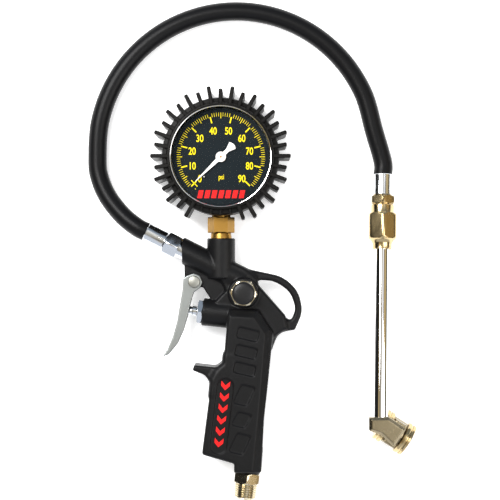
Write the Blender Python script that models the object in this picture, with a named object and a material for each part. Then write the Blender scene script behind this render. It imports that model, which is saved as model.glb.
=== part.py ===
"""Tyre inflator: trigger gun, dial gauge, hose, extension tube and twin-mouth chuck.

Lengths are in millimetres and become metres when a mesh is made.
The inflator lies on its side with the dial facing up; the handle points to -Y.
"""
import math

import bmesh
import bpy
from mathutils import Matrix, Vector

METRES_PER_MM = 0.001
ROUND = 18
GAUGE_SIDES = 36
RUN_GAP = 0.05      # radial clearance of turned fits
BRAZE_GAP = 0.18    # room round the Bourdon tube in its brazed socket
SEAT_GAP = 0.03     # gap between faces that seat on each other

# Gun layout
MID_Z = 13.5                      # height of the gun's middle plane
LEAN = math.radians(6.0)          # handle lean and valve tilt
BARREL_TILT = math.radians(27.0)
BARREL_END = (-29.0, 27.4)
BARREL_R = 7.5
BARREL_LENGTH = 46.0
GAUGE_X = -3.5
CASE_R = 31.4
BOSS_TOP_Y = 33.4
CASE_STAND = 16.8                 # from the boss to the gauge case
GAUGE_Y = BOSS_TOP_Y + CASE_STAND + CASE_R
BOSS_R = 8.4
VALVE_END = (-14.7, -10.6)
VALVE_BOSS_R = 8.25
INLET_END = (12.2, -107.1)
HANDLE_Z = (0.6, 26.4)
BODY_Z = (7.4, 19.6)
LOOP_Z = (9.2, 17.8)
REST_Z = (2.4, 24.6)
DEFLATE_AT = (9.9, 0.8)

# Bores
PORT_R = 2.0
INLET_THREAD_R = 6.2
INLET_THREAD_DEPTH = 12.0
INLET_PASSAGE_R = 3.6
GAUGE_THREAD_R = 6.5
GAUGE_THREAD_DEPTH = 9.0
HOSE_THREAD_R = 5.1
HOSE_THREAD_DEPTH = 10.0
GLAND_R = 5.5
GLAND_DEPTH = 20.0
CHAMBER_R = 5.0
CHAMBER_END = 38.0

# Trigger
PIVOT = (-19.6, 7.4)
PIVOT_R = 1.5
TRIGGER_Z = (8.2, 18.8)
TRIGGER_WALL = 1.4
LUG_Z = (10.4, 16.6)
STEM_R = 1.5
TIP_AT = -12.2

# Deflate valve heights
DEFLATE_FACE_Z = 22.6
DEFLATE_HEX_TOP = 26.0
DEFLATE_BODY_R = 5.3
DEFLATE_BOTTOM_Z = 14.2
BUTTON_Z = (28.7, 31.2)
BUTTON_R = 6.8
SPINDLE_R = 1.2

# Gauge
CASE_Z = (2.7, 30.0)
STEM_NECK_R = 5.6
CASE_WALL = 0.8
BOOT_WALL = 3.4
BOOT_R = CASE_R + BOOT_WALL
BOOT_LIP = 1.6
BOOT_Z = (0.0, 36.0)
TOOTH_LONG_R = BOOT_R + 6.6
TOOTH_SHORT_R = BOOT_R + 4.8
TOOTH_WIDTH = 2.4
TOOTH_PITCH = 10
DIAL_R = CASE_R - 2.5
DIAL_Z = (24.2, 24.8)
LENS_R = CASE_R - 2.1
LENS_Z = (29.4, 31.4)
BEZEL_INNER_R = LENS_R - 0.5
ARBOR_R = 0.6
PINION_TEETH = 10
SECTOR_TEETH = 75
GEAR_MODULE = 0.36
TAIL_R = 6.5
SECTOR_REST = math.radians(72.0)
TUBE_R = CASE_R - 9.4
TUBE_HALF = (1.3, 4.0)
TUBE_WALL = 0.5
POINTER_REST = math.radians(224.0)
STOP_PIN_R = 15.4
STOP_PIN_ANGLE = math.radians(230.0)

# Hose
HOSE_R = 5.6
HOSE_BORE_R = 3.2
HOSE_CRIMP_R = 5.1
CRIMP_GAP = 0.14
FERRULE_R = 5.9
FERRULE_LENGTH = 12.6
BEND_CENTRE = (5.5, 86.6)
BEND_R = 84.2
HOSE_FLOOR_Z = 5.7

# Extension and chuck
EXT_TUBE_R = 4.4
WAND_START = (94.0, 71.8, 2.3 + EXT_TUBE_R)
WAND_RISE = math.radians(6.6)
WAND_YAW = math.radians(1.1)
EXT_TUBE_BORE_R = 2.9
EXT_TUBE_SPAN = (36.6, 149.0)
SPOOL_CENTRE = (100.5, -83.3, 10.2)
SPOOL_YAW = math.radians(-32.0)
CHUCK_TOP_Z = (20.9, 25.2 + EXT_TUBE_R)
CHUCK_SADDLE_Z = (3.4, 24.0)
CAP_R = 10.0
MOUTH_R = 4.2


def polar(radius, angle, centre=(0.0, 0.0)):
    return (centre[0] + radius * math.cos(angle), centre[1] + radius * math.sin(angle))


def arc(radius, start, end, count, centre=(0.0, 0.0)):
    step = (end - start) / count
    return [polar(radius, start + step * i, centre) for i in range(count + 1)]


def axis_frame(origin, direction, up=(0.0, 0.0, 1.0)):
    """Frame whose local Z runs along the direction and local X leans towards up."""
    z_axis = Vector(direction).normalized()
    x_axis = Vector(up) - Vector(up).dot(z_axis) * z_axis
    if x_axis.length < 1e-6:
        x_axis = Vector((1.0, 0.0, 0.0))
    x_axis.normalize()
    y_axis = z_axis.cross(x_axis)
    frame = Matrix((x_axis, y_axis, z_axis)).transposed().to_4x4()
    frame.translation = Vector(origin)
    return frame


def flat_point(point, z=MID_Z):
    return (point[0], point[1], z)


def add_mesh(name, verts, faces, frame=None):
    place = frame or Matrix.Identity(4)
    mesh = bpy.data.meshes.new(name)
    mesh.from_pydata([(place @ Vector(v)) * METRES_PER_MM for v in verts], [], faces)
    work = bmesh.new()
    work.from_mesh(mesh)
    bmesh.ops.recalc_face_normals(work, faces=work.faces)
    work.to_mesh(mesh)
    work.free()
    obj = bpy.data.objects.new(name, mesh)
    bpy.context.scene.collection.objects.link(obj)
    return obj


def skin(rings, closed):
    """Faces that join equal rings; open stacks are capped at both ends."""
    count = len(rings[0])
    verts = [point for ring in rings for point in ring]
    faces = []
    for i in range(len(rings) if closed else len(rings) - 1):
        lower, upper = i * count, ((i + 1) % len(rings)) * count
        for k in range(count):
            after = (k + 1) % count
            faces.append((lower + k, lower + after, upper + after, upper + k))
    if not closed:
        faces.append(tuple(reversed(range(count))))
        faces.append(tuple(range((len(rings) - 1) * count, len(rings) * count)))
    return verts, faces


def turned(name, stations, frame, closed=False, sides=ROUND):
    """Turned piece. A station is (height, radius) or (height, half across flats, "hex")."""
    rings = []
    for station in stations:
        height, radius = station[0], station[1]
        ring = []
        for k in range(sides):
            angle = 2 * math.pi * k / sides
            reach = radius
            if len(station) > 2:
                reach = radius / math.cos(angle % (math.pi / 3) - math.pi / 6)
            ring.append((*polar(reach, angle), height))
        rings.append(ring)
    return add_mesh(name, *skin(rings, closed), frame)


def prism(name, outline, z_low, z_high, frame=None):
    rings = [[(*point, z) for point in outline] for z in (z_low, z_high)]
    return add_mesh(name, *skin(rings, False), frame)


def inset(outline, depth):
    """Outline moved inwards by a depth; the outline runs counter-clockwise."""
    count = len(outline)
    moved = []
    for i in range(count):
        here = Vector(outline[i])
        before = (here - Vector(outline[i - 1])).normalized()
        after = (Vector(outline[(i + 1) % count]) - here).normalized()
        inward = Vector((-before.y - after.y, before.x + after.x)).normalized()
        reach = depth / max(0.5, inward.dot(Vector((-before.y, before.x))))
        moved.append(tuple(here + inward * reach))
    return moved


def slab(name, outline, z_span, edge):
    low, high = z_span
    inner = inset(outline, edge)
    rings = [[(*p, low) for p in inner], [(*p, low + edge) for p in outline],
             [(*p, high - edge) for p in outline], [(*p, high) for p in inner]]
    return add_mesh(name, *skin(rings, False))


def filleted(corners, steps=3):
    """Closed outline with rounded corners; a corner is (x, y, radius)."""
    outline = []
    count = len(corners)
    for i, (x, y, radius) in enumerate(corners):
        here = Vector((x, y))
        if radius <= 0.0:
            outline.append((x, y))
            continue
        back = Vector(corners[i - 1][:2]) - here
        ahead = Vector(corners[(i + 1) % count][:2]) - here
        half = back.angle(ahead) / 2
        reach = min(radius / math.tan(half), 0.45 * back.length, 0.45 * ahead.length)
        first = here + back.normalized() * reach
        last = here + ahead.normalized() * reach
        for k in range(steps + 1):
            t = k / steps
            point = first * (1 - t) ** 2 + here * (2 * t * (1 - t)) + last * t ** 2
            outline.append(tuple(point))
    return outline


def combine(target, tools, operation):
    for tool in tools:
        modifier = target.modifiers.new("join", "BOOLEAN")
        modifier.operation = operation
        modifier.solver = "MANIFOLD"
        modifier.object = tool
        graph = bpy.context.evaluated_depsgraph_get()
        result = bpy.data.meshes.new_from_object(target.evaluated_get(graph))
        target.modifiers.clear()
        target.data = result
        bpy.data.objects.remove(tool, do_unlink=True)
    return target


def union(target, *tools):
    return combine(target, tools, "UNION")


def cut(target, *tools):
    return combine(target, tools, "DIFFERENCE")


def bar(start, end, radius, sides=12):
    direction = Vector(end) - Vector(start)
    return turned("tool", [(0.0, radius), (direction.length, radius)],
                  axis_frame(start, direction), sides=sides)


def sweep(name, centres, section, closed_section=None, up=(0.0, 0.0, 1.0)):
    """Sweep a ring section (list of (across, up) points per centre) along a path."""
    rings = []
    for i, centre in enumerate(centres):
        here = Vector(centre)
        ahead = Vector(centres[min(i + 1, len(centres) - 1)])
        back = Vector(centres[max(i - 1, 0)])
        frame = axis_frame(here, ahead - back, up)
        rings.append([tuple(frame @ Vector((p[1], p[0], 0.0))) for p in section(i)])
    return rings


def coil(name, frame, radius, wire, length, turns, steps=8, sides=5):
    total = turns * steps
    rings = []
    for i in range(total + 1):
        angle = 2 * math.pi * i / steps
        height = wire + (length - 2 * wire) * i / total
        ring = []
        for k in range(sides):
            lean = 2 * math.pi * k / sides
            ring.append((*polar(radius + wire * math.cos(lean), angle), height + wire * math.sin(lean)))
        rings.append(ring)
    return add_mesh(name, *skin(rings, False), frame)


def move_origin(obj, point):
    """Put the object's origin on a point given in millimetres."""
    shift = Vector(point) * METRES_PER_MM
    obj.data.transform(Matrix.Translation(-shift))
    obj.location = shift


def paint(obj, colour, metallic, roughness, smooth=True):
    material = bpy.data.materials.new(obj.name + "_finish")
    material.use_nodes = True
    shader = material.node_tree.nodes["Principled BSDF"]
    shader.inputs["Base Color"].default_value = (*colour, 1.0)
    shader.inputs["Metallic"].default_value = metallic
    shader.inputs["Roughness"].default_value = roughness
    obj.data.materials.clear()
    obj.data.materials.append(material)
    if smooth:
        obj.data.shade_smooth()
        obj.data.set_sharp_from_angle(angle=math.radians(35.0))


FINISHES = {
    "powder_black": ((0.02, 0.02, 0.022), 0.0, 0.5),
    "rubber_black": ((0.015, 0.015, 0.015), 0.0, 0.7),
    "plastic_black": ((0.02, 0.02, 0.02), 0.0, 0.4),
    "nickel": ((0.75, 0.72, 0.65), 1.0, 0.2),
    "zinc": ((0.7, 0.72, 0.74), 1.0, 0.25),
    "chrome": ((0.8, 0.8, 0.8), 1.0, 0.08),
    "steel": ((0.6, 0.6, 0.6), 1.0, 0.35),
    "aluminium": ((0.62, 0.63, 0.62), 0.9, 0.4),
    "brass": ((0.72, 0.5, 0.18), 1.0, 0.3),
    "glass": ((0.9, 0.93, 0.95), 0.0, 0.05),
    "dial_black": ((0.01, 0.015, 0.02), 0.0, 0.5),
    "white": ((0.85, 0.85, 0.82), 0.0, 0.5),
}

for old in list(bpy.data.objects):
    bpy.data.objects.remove(old, do_unlink=True)

handle_up = Vector((math.sin(LEAN), math.cos(LEAN), 0.0))
valve_in = Vector((math.cos(LEAN), -math.sin(LEAN), 0.0))
barrel_in = Vector((math.cos(BARREL_TILT), -math.sin(BARREL_TILT), 0.0))
inlet_frame = axis_frame(flat_point(INLET_END), -handle_up)
valve_frame = axis_frame(flat_point(VALVE_END), valve_in)
barrel_frame = axis_frame(flat_point(BARREL_END), barrel_in)
hose_out_frame = axis_frame(flat_point(BARREL_END), -barrel_in)
gauge_frame = Matrix.Translation((GAUGE_X, GAUGE_Y, 0.0))
stem_frame = axis_frame((GAUGE_X, GAUGE_Y, MID_Z), (0.0, -1.0, 0.0))
socket_frame = stem_frame @ Matrix.Rotation(math.pi / 6, 4, "Z")  # a flat of the hex faces up
deflate_frame = Matrix.Translation((*DEFLATE_AT, 0.0)) @ Matrix.Rotation(-LEAN, 4, "Z")


# ---------------------------------------------------------------- gun body
handle_outline = filleted([
    (-4.4, -43.0, 2.0), (-2.0, -41.0, 2.0), (0.2, -16.0, 2.0), (1.6, -8.8, 2.0), (18.6, -9.6, 2.0),
    (27.4, -23.0, 3.0),
    (26.6, -32.0, 3.0), (24.6, -52.2, 0.0), (22.2, -73.8, 0.0), (20.5, -105.8, 0.0),
    (4.3, -105.8, 0.0), (4.3, -100.4, 2.0), (-14.8, -94.9, 2.0), (-10.7, -63.0, 0.0),
    (-9.2, -50.0, 3.0), (-7.0, -46.0, 0.0)])
handle_outline.reverse()
rest_outline = filleted([
    (-9.6, -52.0, 0.0), (-13.4, -47.8, 3.0), (-20.3, -45.0, 0.8), (-19.3, -41.9, 0.8), (-6.0, -43.4, 2.0),
    (-2.4, -41.0, 2.0), (-1.8, -36.0, 0.0), (4.0, -36.0, 0.0), (0.0, -60.0, 0.0), (-10.2, -60.0, 0.0)])
rest_outline.reverse()
body_outline = filleted([
    (-3.4, 9.0, 0.0), (-1.0, 2.0, 0.0), (-7.4, -4.6, 0.0), (2.0, -16.0, 0.0), (8.0, -24.0, 0.0),
    (27.0, -26.0, 0.0), (36.0, -20.0, 0.0), (34.6, -12.6, 0.0), (18.6, 5.2, 0.0), (17.8, 9.6, 0.0),
    (11.0, 15.4, 0.0), (3.0, 18.6, 0.0), (-8.0, 14.0, 0.0)])
loop_outline = filleted([
    (3.1, 19.8, 0.0), (11.6, 15.2, 4.0), (33.5, 10.6, 20.0), (42.6, 2.2, 20.0), (45.6, -10.5, 12.0),
    (40.6, -21.4, 1.5), (31.0, -22.8, 4.0), (27.0, -32.6, 0.0), (16.0, -32.0, 0.0), (0.0, 0.0, 0.0)])
loop_outline.reverse()
loop_hole = filleted([
    (17.4, 8.4, 1.2), (28.6, 8.0, 20.0), (38.2, 1.0, 20.0), (41.2, -9.0, 6.0), (38.6, -15.4, 3.0),
    (35.0, -14.6, 2.5), (18.6, 5.0, 1.2)])
lug_outline = filleted([
    (-25.4, 22.0, 0.0), (-25.4, 9.6, 1.0), (-23.6, 5.0, 2.0), (-19.6, 2.9, 3.0), (-14.4, 4.4, 2.0),
    (-12.4, 1.0, 1.0), (-9.0, -4.0, 0.0), (2.0, -5.0, 0.0), (2.0, 13.0, 0.0)])

gun_body = slab("gun_body", handle_outline, HANDLE_Z, 2.6)
upper_body = slab("upper", body_outline, BODY_Z, 1.6)
finger_rest = slab("rest", rest_outline, REST_Z, 0.8)
hanging_loop = slab("loop", loop_outline, LOOP_Z, 1.2)
cut(hanging_loop, prism("hole", loop_hole, 0.0, 30.0))
lug = prism("lug", lug_outline, *LUG_Z)
barrel = turned("barrel", [(0.0, BARREL_R - 0.6), (0.6, BARREL_R), (BARREL_LENGTH, BARREL_R)], barrel_frame)
gauge_boss = turned("boss", [(GAUGE_Y - BOSS_TOP_Y, BOSS_R), (GAUGE_Y - 9.0, BOSS_R)], stem_frame)
valve_boss = turned("boss", [(0.0, VALVE_BOSS_R - 0.6), (0.6, VALVE_BOSS_R), (26.0, VALVE_BOSS_R)],
    valve_frame)
inlet_boss = turned("boss", [(0.0, 7.6), (-16.0, 7.6)], inlet_frame)
deflate_seat = turned("seat", [(6.0, 8.8), (DEFLATE_FACE_Z, 8.8)], deflate_frame)
union(gun_body, finger_rest, upper_body, hanging_loop, lug, barrel, gauge_boss, valve_boss, inlet_boss,
    deflate_seat)

inlet_back = INLET_THREAD_DEPTH
passage_top = Vector(flat_point(INLET_END)) + handle_up * 95.0
passage_low = Vector(flat_point(INLET_END)) + handle_up * (inlet_back - 1.0)
gauge_bore_y = BOSS_TOP_Y - GAUGE_THREAD_DEPTH
barrel_at = Vector(flat_point(BARREL_END))
cut(gun_body,
    turned("bore", [(2.0, INLET_THREAD_R + RUN_GAP), (-inlet_back, INLET_THREAD_R + RUN_GAP)], inlet_frame),
    bar(passage_low, passage_top, INLET_PASSAGE_R),
    turned("bore", [(-3.0, GLAND_R + RUN_GAP), (GLAND_DEPTH + 0.1, GLAND_R + RUN_GAP),
                    (GLAND_DEPTH + 0.1, CHAMBER_R), (CHAMBER_END, CHAMBER_R)], valve_frame),
    turned("bore", [(-3.0, HOSE_THREAD_R + RUN_GAP), (HOSE_THREAD_DEPTH, HOSE_THREAD_R + RUN_GAP),
                    (HOSE_THREAD_DEPTH, PORT_R), (42.0, PORT_R)], barrel_frame),
    turned("bore", [(GAUGE_Y - BOSS_TOP_Y - 3.0, GAUGE_THREAD_R + RUN_GAP),
                    (GAUGE_Y - gauge_bore_y, GAUGE_THREAD_R + RUN_GAP)], socket_frame),
    bar((GAUGE_X, gauge_bore_y + 1.0, MID_Z), (GAUGE_X, VALVE_END[1] + 2.6, MID_Z), PORT_R),
    turned("bore", [(8.0, DEFLATE_BODY_R + RUN_GAP), (DEFLATE_FACE_Z + 3.0, DEFLATE_BODY_R + RUN_GAP)],
           deflate_frame),
    bar((*PIVOT, 0.0), (*PIVOT, 30.0), PIVOT_R + RUN_GAP, ROUND))

# ---------------------------------------------------------------- inlet and valve
turned("inlet_fitting", [
    (-INLET_THREAD_DEPTH + 0.5, INLET_THREAD_R), (SEAT_GAP, INLET_THREAD_R), (SEAT_GAP, 7.3, "hex"),
    (6.2, 7.3, "hex"), (6.2, 6.1), (7.0, 6.85), (14.6, 6.55), (15.6, 5.9), (15.6, 4.4),
    (-INLET_THREAD_DEPTH + 0.5, 4.4)], inlet_frame, closed=True)

gland = turned("valve_gland_nut", [
    (-3.2, 6.0), (-2.6, 6.7, "hex"), (-SEAT_GAP, 6.7, "hex"), (-SEAT_GAP, GLAND_R), (GLAND_DEPTH, GLAND_R),
    (GLAND_DEPTH, 2.4), (17.0, 2.4), (17.0, 3.0), (4.0, 3.0), (4.0, STEM_R + RUN_GAP),
    (0.4, STEM_R + RUN_GAP), (0.4, 3.2), (-3.2, 3.2)], valve_frame, closed=True)
port_s = (GAUGE_X - VALVE_END[0]) / math.cos(LEAN)
port_at = Vector(flat_point(VALVE_END)) + valve_in * port_s
cut(gland, bar(port_at, port_at + handle_up * 8.0, PORT_R - 0.3, 12))
turned("valve_stem", [
    (TIP_AT, 0.6), (TIP_AT + 0.5, 1.8), (TIP_AT + 1.6, 2.5), (-6.0, 2.5), (-6.0, 3.1), (-3.5, 3.1),
    (-3.5, STEM_R), (19.9, STEM_R), (19.9, 1.2), (22.1, 1.2), (22.1, 2.4), (23.0, 2.4)], valve_frame,
    sides=20)
turned("valve_stem_o_ring", [(4.15, STEM_R + 0.4), (4.5, STEM_R + RUN_GAP), (5.3, STEM_R + RUN_GAP),
                             (5.7, STEM_R + 0.4), (5.7, 2.6), (5.3, 2.92),
                             (4.5, 2.92), (4.15, 2.6)], valve_frame, closed=True, sides=20)
turned("valve_disc", [(20.04, 1.25), (20.04, 4.2), (22.05, 4.2), (22.05, 1.25)], valve_frame, closed=True,
       sides=20)
coil("valve_spring", axis_frame(Vector(flat_point(VALVE_END)) + valve_in * 22.1, valve_in), 3.3, 0.4,
     CHAMBER_END - 22.2, 6)

# ---------------------------------------------------------------- trigger
lever_outline = filleted([
    (-26.0, 9.6, 1.0), (-26.6, 2.0, 0.0), (-27.8, -4.7, 0.0), (-29.6, -15.7, 0.0), (-32.1, -24.9, 0.0),
    (-35.2, -32.3, 0.0), (-38.4, -37.3, 0.4), (-34.6, -35.9, 0.4), (-29.6, -29.8, 0.0), (-26.0, -21.8, 0.0),
    (-23.2, -12.0, 0.0), (-21.7, -4.7, 0.0), (-19.9, 0.8, 0.0), (-16.2, 3.6, 1.5), (-14.5, 7.2, 2.0),
    (-16.2, 11.2, 2.0), (-19.8, 12.5, 2.0), (-23.6, 11.2, 1.5)])
slot_outline = [
    (-30.0, 20.0), (-30.0, 3.2), (-25.2, 2.6), (-26.3, -4.7), (-28.1, -15.7), (-30.5, -24.9),
    (-33.0, -31.2), (-29.0, -33.0), (-10.0, -33.0), (-10.0, 20.0)]
trigger = prism("trigger", lever_outline, *TRIGGER_Z)
cut(trigger, prism("slot", slot_outline, TRIGGER_Z[0] + TRIGGER_WALL, TRIGGER_Z[1] - TRIGGER_WALL),
    bar((*PIVOT, 0.0), (*PIVOT, 30.0), PIVOT_R + RUN_GAP, ROUND))
turned("trigger_pin", [(6.4, PIVOT_R - 0.3), (6.7, PIVOT_R), (TRIGGER_Z[1] + RUN_GAP, PIVOT_R),
                       (TRIGGER_Z[1] + RUN_GAP, 3.6), (19.8, 3.6), (20.2, 3.1)],
       Matrix.Translation((*PIVOT, 0.0)))
turned("trigger_pin_clip", [(7.2, PIVOT_R + RUN_GAP), (7.2, 3.2), (8.1, 3.2), (8.1, PIVOT_R + RUN_GAP)],
       Matrix.Translation((*PIVOT, 0.0)), closed=True, sides=20)

# ---------------------------------------------------------------- deflate valve
turned("deflate_bushing", [
    (DEFLATE_BOTTOM_Z, DEFLATE_BODY_R), (DEFLATE_FACE_Z + SEAT_GAP, DEFLATE_BODY_R),
    (DEFLATE_FACE_Z + SEAT_GAP, 7.2, "hex"), (25.5, 7.2, "hex"), (DEFLATE_HEX_TOP, 6.9),
    (DEFLATE_HEX_TOP, 4.5),
    (17.6, 4.5), (17.6, SPINDLE_R + 0.3), (DEFLATE_BOTTOM_Z, SPINDLE_R + 0.3)], deflate_frame, closed=True)
turned("deflate_button", [
    (20.6, 4.4), (BUTTON_Z[0], 4.4), (BUTTON_Z[0], BUTTON_R), (30.2, BUTTON_R), (30.9, 5.6),
    (BUTTON_Z[1], 2.6),
    (BUTTON_Z[1], 0.4), (29.2, 0.3), (29.2, SPINDLE_R + SEAT_GAP), (27.0, SPINDLE_R + SEAT_GAP), (27.0, 3.3),
    (20.6, 3.3)], deflate_frame, closed=True)
turned("deflate_spindle", [(11.3, 1.9), (11.9, 1.9), (11.9, SPINDLE_R), (29.1, SPINDLE_R)], deflate_frame,
       sides=16)
turned("deflate_seal", [(11.95, SPINDLE_R + SEAT_GAP), (11.95, 3.0), (14.15, 3.0),
    (14.15, SPINDLE_R + SEAT_GAP)],
       deflate_frame, closed=True, sides=16)
coil("deflate_spring", Matrix.Translation((*DEFLATE_AT, 17.7)), 2.5, 0.35, 9.2, 5)

# ---------------------------------------------------------------- gauge
block_outline = [(-7.0, 2.4 - CASE_R), (7.0, 2.4 - CASE_R), (7.0, 9.0 - TUBE_R), (-7.0, 9.0 - TUBE_R)]
socket = turned("gauge_socket", [
    (GAUGE_Y - gauge_bore_y - 0.3, GAUGE_THREAD_R), (GAUGE_Y - BOSS_TOP_Y - 0.2, GAUGE_THREAD_R),
    (GAUGE_Y - BOSS_TOP_Y - 0.2, 6.6), (CASE_R + 13.2, 6.6), (CASE_R + 13.0, 7.0, "hex"),
    (CASE_R + 4.6, 7.0, "hex"), (CASE_R + 4.6, STEM_NECK_R), (CASE_R - 2.4, STEM_NECK_R)], socket_frame)
union(socket, prism("block", block_outline, 9.2, 17.6, gauge_frame))


def tube_centres(start, end, count):
    return [(*polar(TUBE_R, math.radians(start + (end - start) * i / count)),
        MID_Z) for i in range(count + 1)]


def tube_rings(start, end, count, grow):
    across, tall = TUBE_HALF[0] + grow, TUBE_HALF[1] + grow
    section = [(across * c, tall * s) for c, s in
               ((-1, -0.7), (-0.6, -1), (0.6, -1), (1, -0.7), (1, 0.7), (0.6, 1), (-0.6, 1), (-1, 0.7))]
    return sweep("tube", tube_centres(start, end, count), lambda i: section)


pocket = add_mesh("pocket", *skin(tube_rings(-99.0, -119.0, 4, BRAZE_GAP), False), gauge_frame)
cut(socket, pocket,
    bar((GAUGE_X, gauge_bore_y - 1.0, MID_Z), (GAUGE_X, GAUGE_Y - TUBE_R - 1.0, MID_Z), 1.2, 10))
outer = tube_rings(-101.0, -376.0, 26, 0.0)
inner = tube_rings(-101.0, -370.0, 26, -TUBE_WALL)
verts, faces = skin(outer + list(reversed(inner)), True)
ring_size = len(outer[0])
tip = len(outer) - 1
faces = [f for f in faces if not (f[0] // ring_size == tip)]
faces.append(tuple(range(tip * ring_size, (tip + 1) * ring_size)))
faces.append(tuple(reversed(range((tip + 1) * ring_size, (tip + 2) * ring_size))))
tube = add_mesh("bourdon_tube", verts, faces, gauge_frame)
tip_at = polar(TUBE_R, math.radians(-373.0))
union(tube, turned("post", [(MID_Z + 3.4, 1.3), (20.1, 1.3)],
                   Matrix.Translation((GAUGE_X + tip_at[0], GAUGE_Y + tip_at[1], 0.0)), sides=12))

case = turned("gauge_case", [
    (CASE_Z[0], CASE_R), (CASE_Z[1], CASE_R), (CASE_Z[1], CASE_R - CASE_WALL),
    (CASE_Z[0] + CASE_WALL, CASE_R - CASE_WALL)], gauge_frame, sides=GAUGE_SIDES)
cut(case, bar((GAUGE_X, GAUGE_Y - CASE_R - 9.0, MID_Z), (GAUGE_X, GAUGE_Y - CASE_R + 6.0, MID_Z),
    STEM_NECK_R + 0.1,
              ROUND))
turned("gauge_bezel", [
    (27.6, CASE_R - CASE_WALL - RUN_GAP), (CASE_Z[1] + SEAT_GAP, CASE_R - CASE_WALL - RUN_GAP),
    (CASE_Z[1] + SEAT_GAP, CASE_R), (32.6, CASE_R), (32.6, BEZEL_INNER_R),
    (LENS_Z[1] + SEAT_GAP, BEZEL_INNER_R),
    (LENS_Z[1] + SEAT_GAP, LENS_R + RUN_GAP), (27.6, LENS_R + RUN_GAP)], gauge_frame, closed=True,
    sides=GAUGE_SIDES)
turned("gauge_lens", [(LENS_Z[0], LENS_R), (LENS_Z[1], LENS_R)], gauge_frame, sides=GAUGE_SIDES)

boot_outline = []
for step in range(36):
    angle = math.radians(250 + TOOTH_PITCH * step)
    if step < 4:
        boot_outline += [polar(BOOT_R, angle + math.radians(k)) for k in (-2.5, 2.5)]
        continue
    reach = TOOTH_LONG_R if step % 2 else TOOTH_SHORT_R
    half = TOOTH_WIDTH / 2
    for radius, side in ((BOOT_R, -1), (reach, -1), (reach, 1), (BOOT_R, 1)):
        boot_outline.append(polar(radius, angle + side * math.asin(half / radius)))
boot = prism("gauge_boot", boot_outline, *BOOT_Z, gauge_frame)
cut(boot,
    turned("cavity", [(2.6, CASE_R + RUN_GAP), (32.7, CASE_R + RUN_GAP), (32.7, CASE_R - BOOT_LIP),
                      (40.0, CASE_R - BOOT_LIP)], gauge_frame, sides=GAUGE_SIDES),
    bar((GAUGE_X, GAUGE_Y - BOOT_R - 15.0, MID_Z), (GAUGE_X, GAUGE_Y - CASE_R + 6.0, MID_Z),
    STEM_NECK_R + 0.3,
        ROUND))

pivot_y = -GEAR_MODULE * (PINION_TEETH + SECTOR_TEETH) / 2
pillar_upper_y = 6.0
pillar_lower_y = pivot_y - 5.7
plate_outline = arc(4.6, 0.0, math.pi, 8, (0.0, pillar_upper_y)) + arc(
    4.6, math.pi, 2 * math.pi, 8, (0.0, pillar_lower_y))


def plate(name, z_low, z_high, pillar_r):
    body = prism(name, plate_outline, z_low, z_high, gauge_frame)
    holes = []
    for y, radius in ((0.0, ARBOR_R + 0.06), (pivot_y, 0.86), (pillar_upper_y, pillar_r),
        (pillar_lower_y, pillar_r)):
        at = (GAUGE_X, GAUGE_Y + y)
        holes.append(bar((*at, z_low - 2.0), (*at, z_high + 2.0), radius, 12))
    return cut(body, *holes)


plate("movement_bottom_plate", 17.65, 18.45, 1.25)
plate("movement_top_plate", 22.2, 23.0, 1.25)
for label, y in (("upper", pillar_upper_y), ("lower", pillar_lower_y)):
    turned("movement_pillar_" + label, [
        (17.7, 1.2), (18.48, 1.2), (18.48, 2.0), (22.17, 2.0), (22.17, 1.2), (23.03, 1.2), (23.03, 1.6),
        (DIAL_Z[0] - SEAT_GAP, 1.6)], Matrix.Translation((GAUGE_X, GAUGE_Y + y, 0.0)), sides=12)


def gear_points(teeth, first_tooth, last_tooth, zero_angle):
    """Trapezoid teeth; tooth 0 is centred on the zero angle."""
    pitch_r = GEAR_MODULE * teeth / 2
    step = 2 * math.pi / teeth
    points = []
    for tooth in range(first_tooth, last_tooth + 1):
        centre = zero_angle + tooth * step
        for radius, half in ((pitch_r - 0.42, 0.30), (pitch_r + 0.24, 0.11), (pitch_r + 0.24, -0.11),
                             (pitch_r - 0.42, -0.30)):
            points.append(polar(radius, centre - half / pitch_r))
    return points


pinion_points = gear_points(PINION_TEETH, 0, PINION_TEETH - 1, -math.pi / 2 + math.pi / PINION_TEETH)
arbor_frame = Matrix.Translation((GAUGE_X, GAUGE_Y, 0.0))
arbor = turned("pinion_arbor", [(17.7, ARBOR_R), (20.8, ARBOR_R), (20.8, 1.0), (21.5, 1.0), (21.5, ARBOR_R),
                                (26.7, ARBOR_R)], arbor_frame, sides=12)
union(arbor, prism("pinion", pinion_points, 19.0, 20.2, arbor_frame))

sector_frame = Matrix.Translation((GAUGE_X, GAUGE_Y + pivot_y, 0.0))
tooth_step = 2 * math.pi / SECTOR_TEETH
teeth_half = 5
rest_offset = round((SECTOR_REST - math.pi / 2) / tooth_step) * tooth_step
arc_centre = math.pi / 2 + rest_offset
rim = gear_points(SECTOR_TEETH, -teeth_half, teeth_half, arc_centre)
rim_inner_r = GEAR_MODULE * SECTOR_TEETH / 2 - 2.6
rim_half = teeth_half * tooth_step + 0.03
sector_outline = rim + arc(rim_inner_r, arc_centre + rim_half, arc_centre + 0.16, 3)
tail_angle = arc_centre - math.pi / 2
sector_outline += [polar(3.2, arc_centre + 0.5), polar(3.0, arc_centre + 1.6), polar(2.9, arc_centre + 2.6),
                   polar(3.2, tail_angle - 0.5)]
sector_outline += arc(1.7, tail_angle - 1.6, tail_angle + 1.6, 5, polar(TAIL_R, tail_angle))
sector_outline += [polar(3.6, tail_angle + 0.5)]
sector_outline += arc(rim_inner_r, arc_centre - 0.16, arc_centre - rim_half, 3)
sector = prism("sector_gear", sector_outline, 19.2, 20.0, sector_frame)
tail_at = polar(TAIL_R, tail_angle)
tail_frame = Matrix.Translation((GAUGE_X + tail_at[0], GAUGE_Y + pivot_y + tail_at[1], 0.0))
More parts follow.
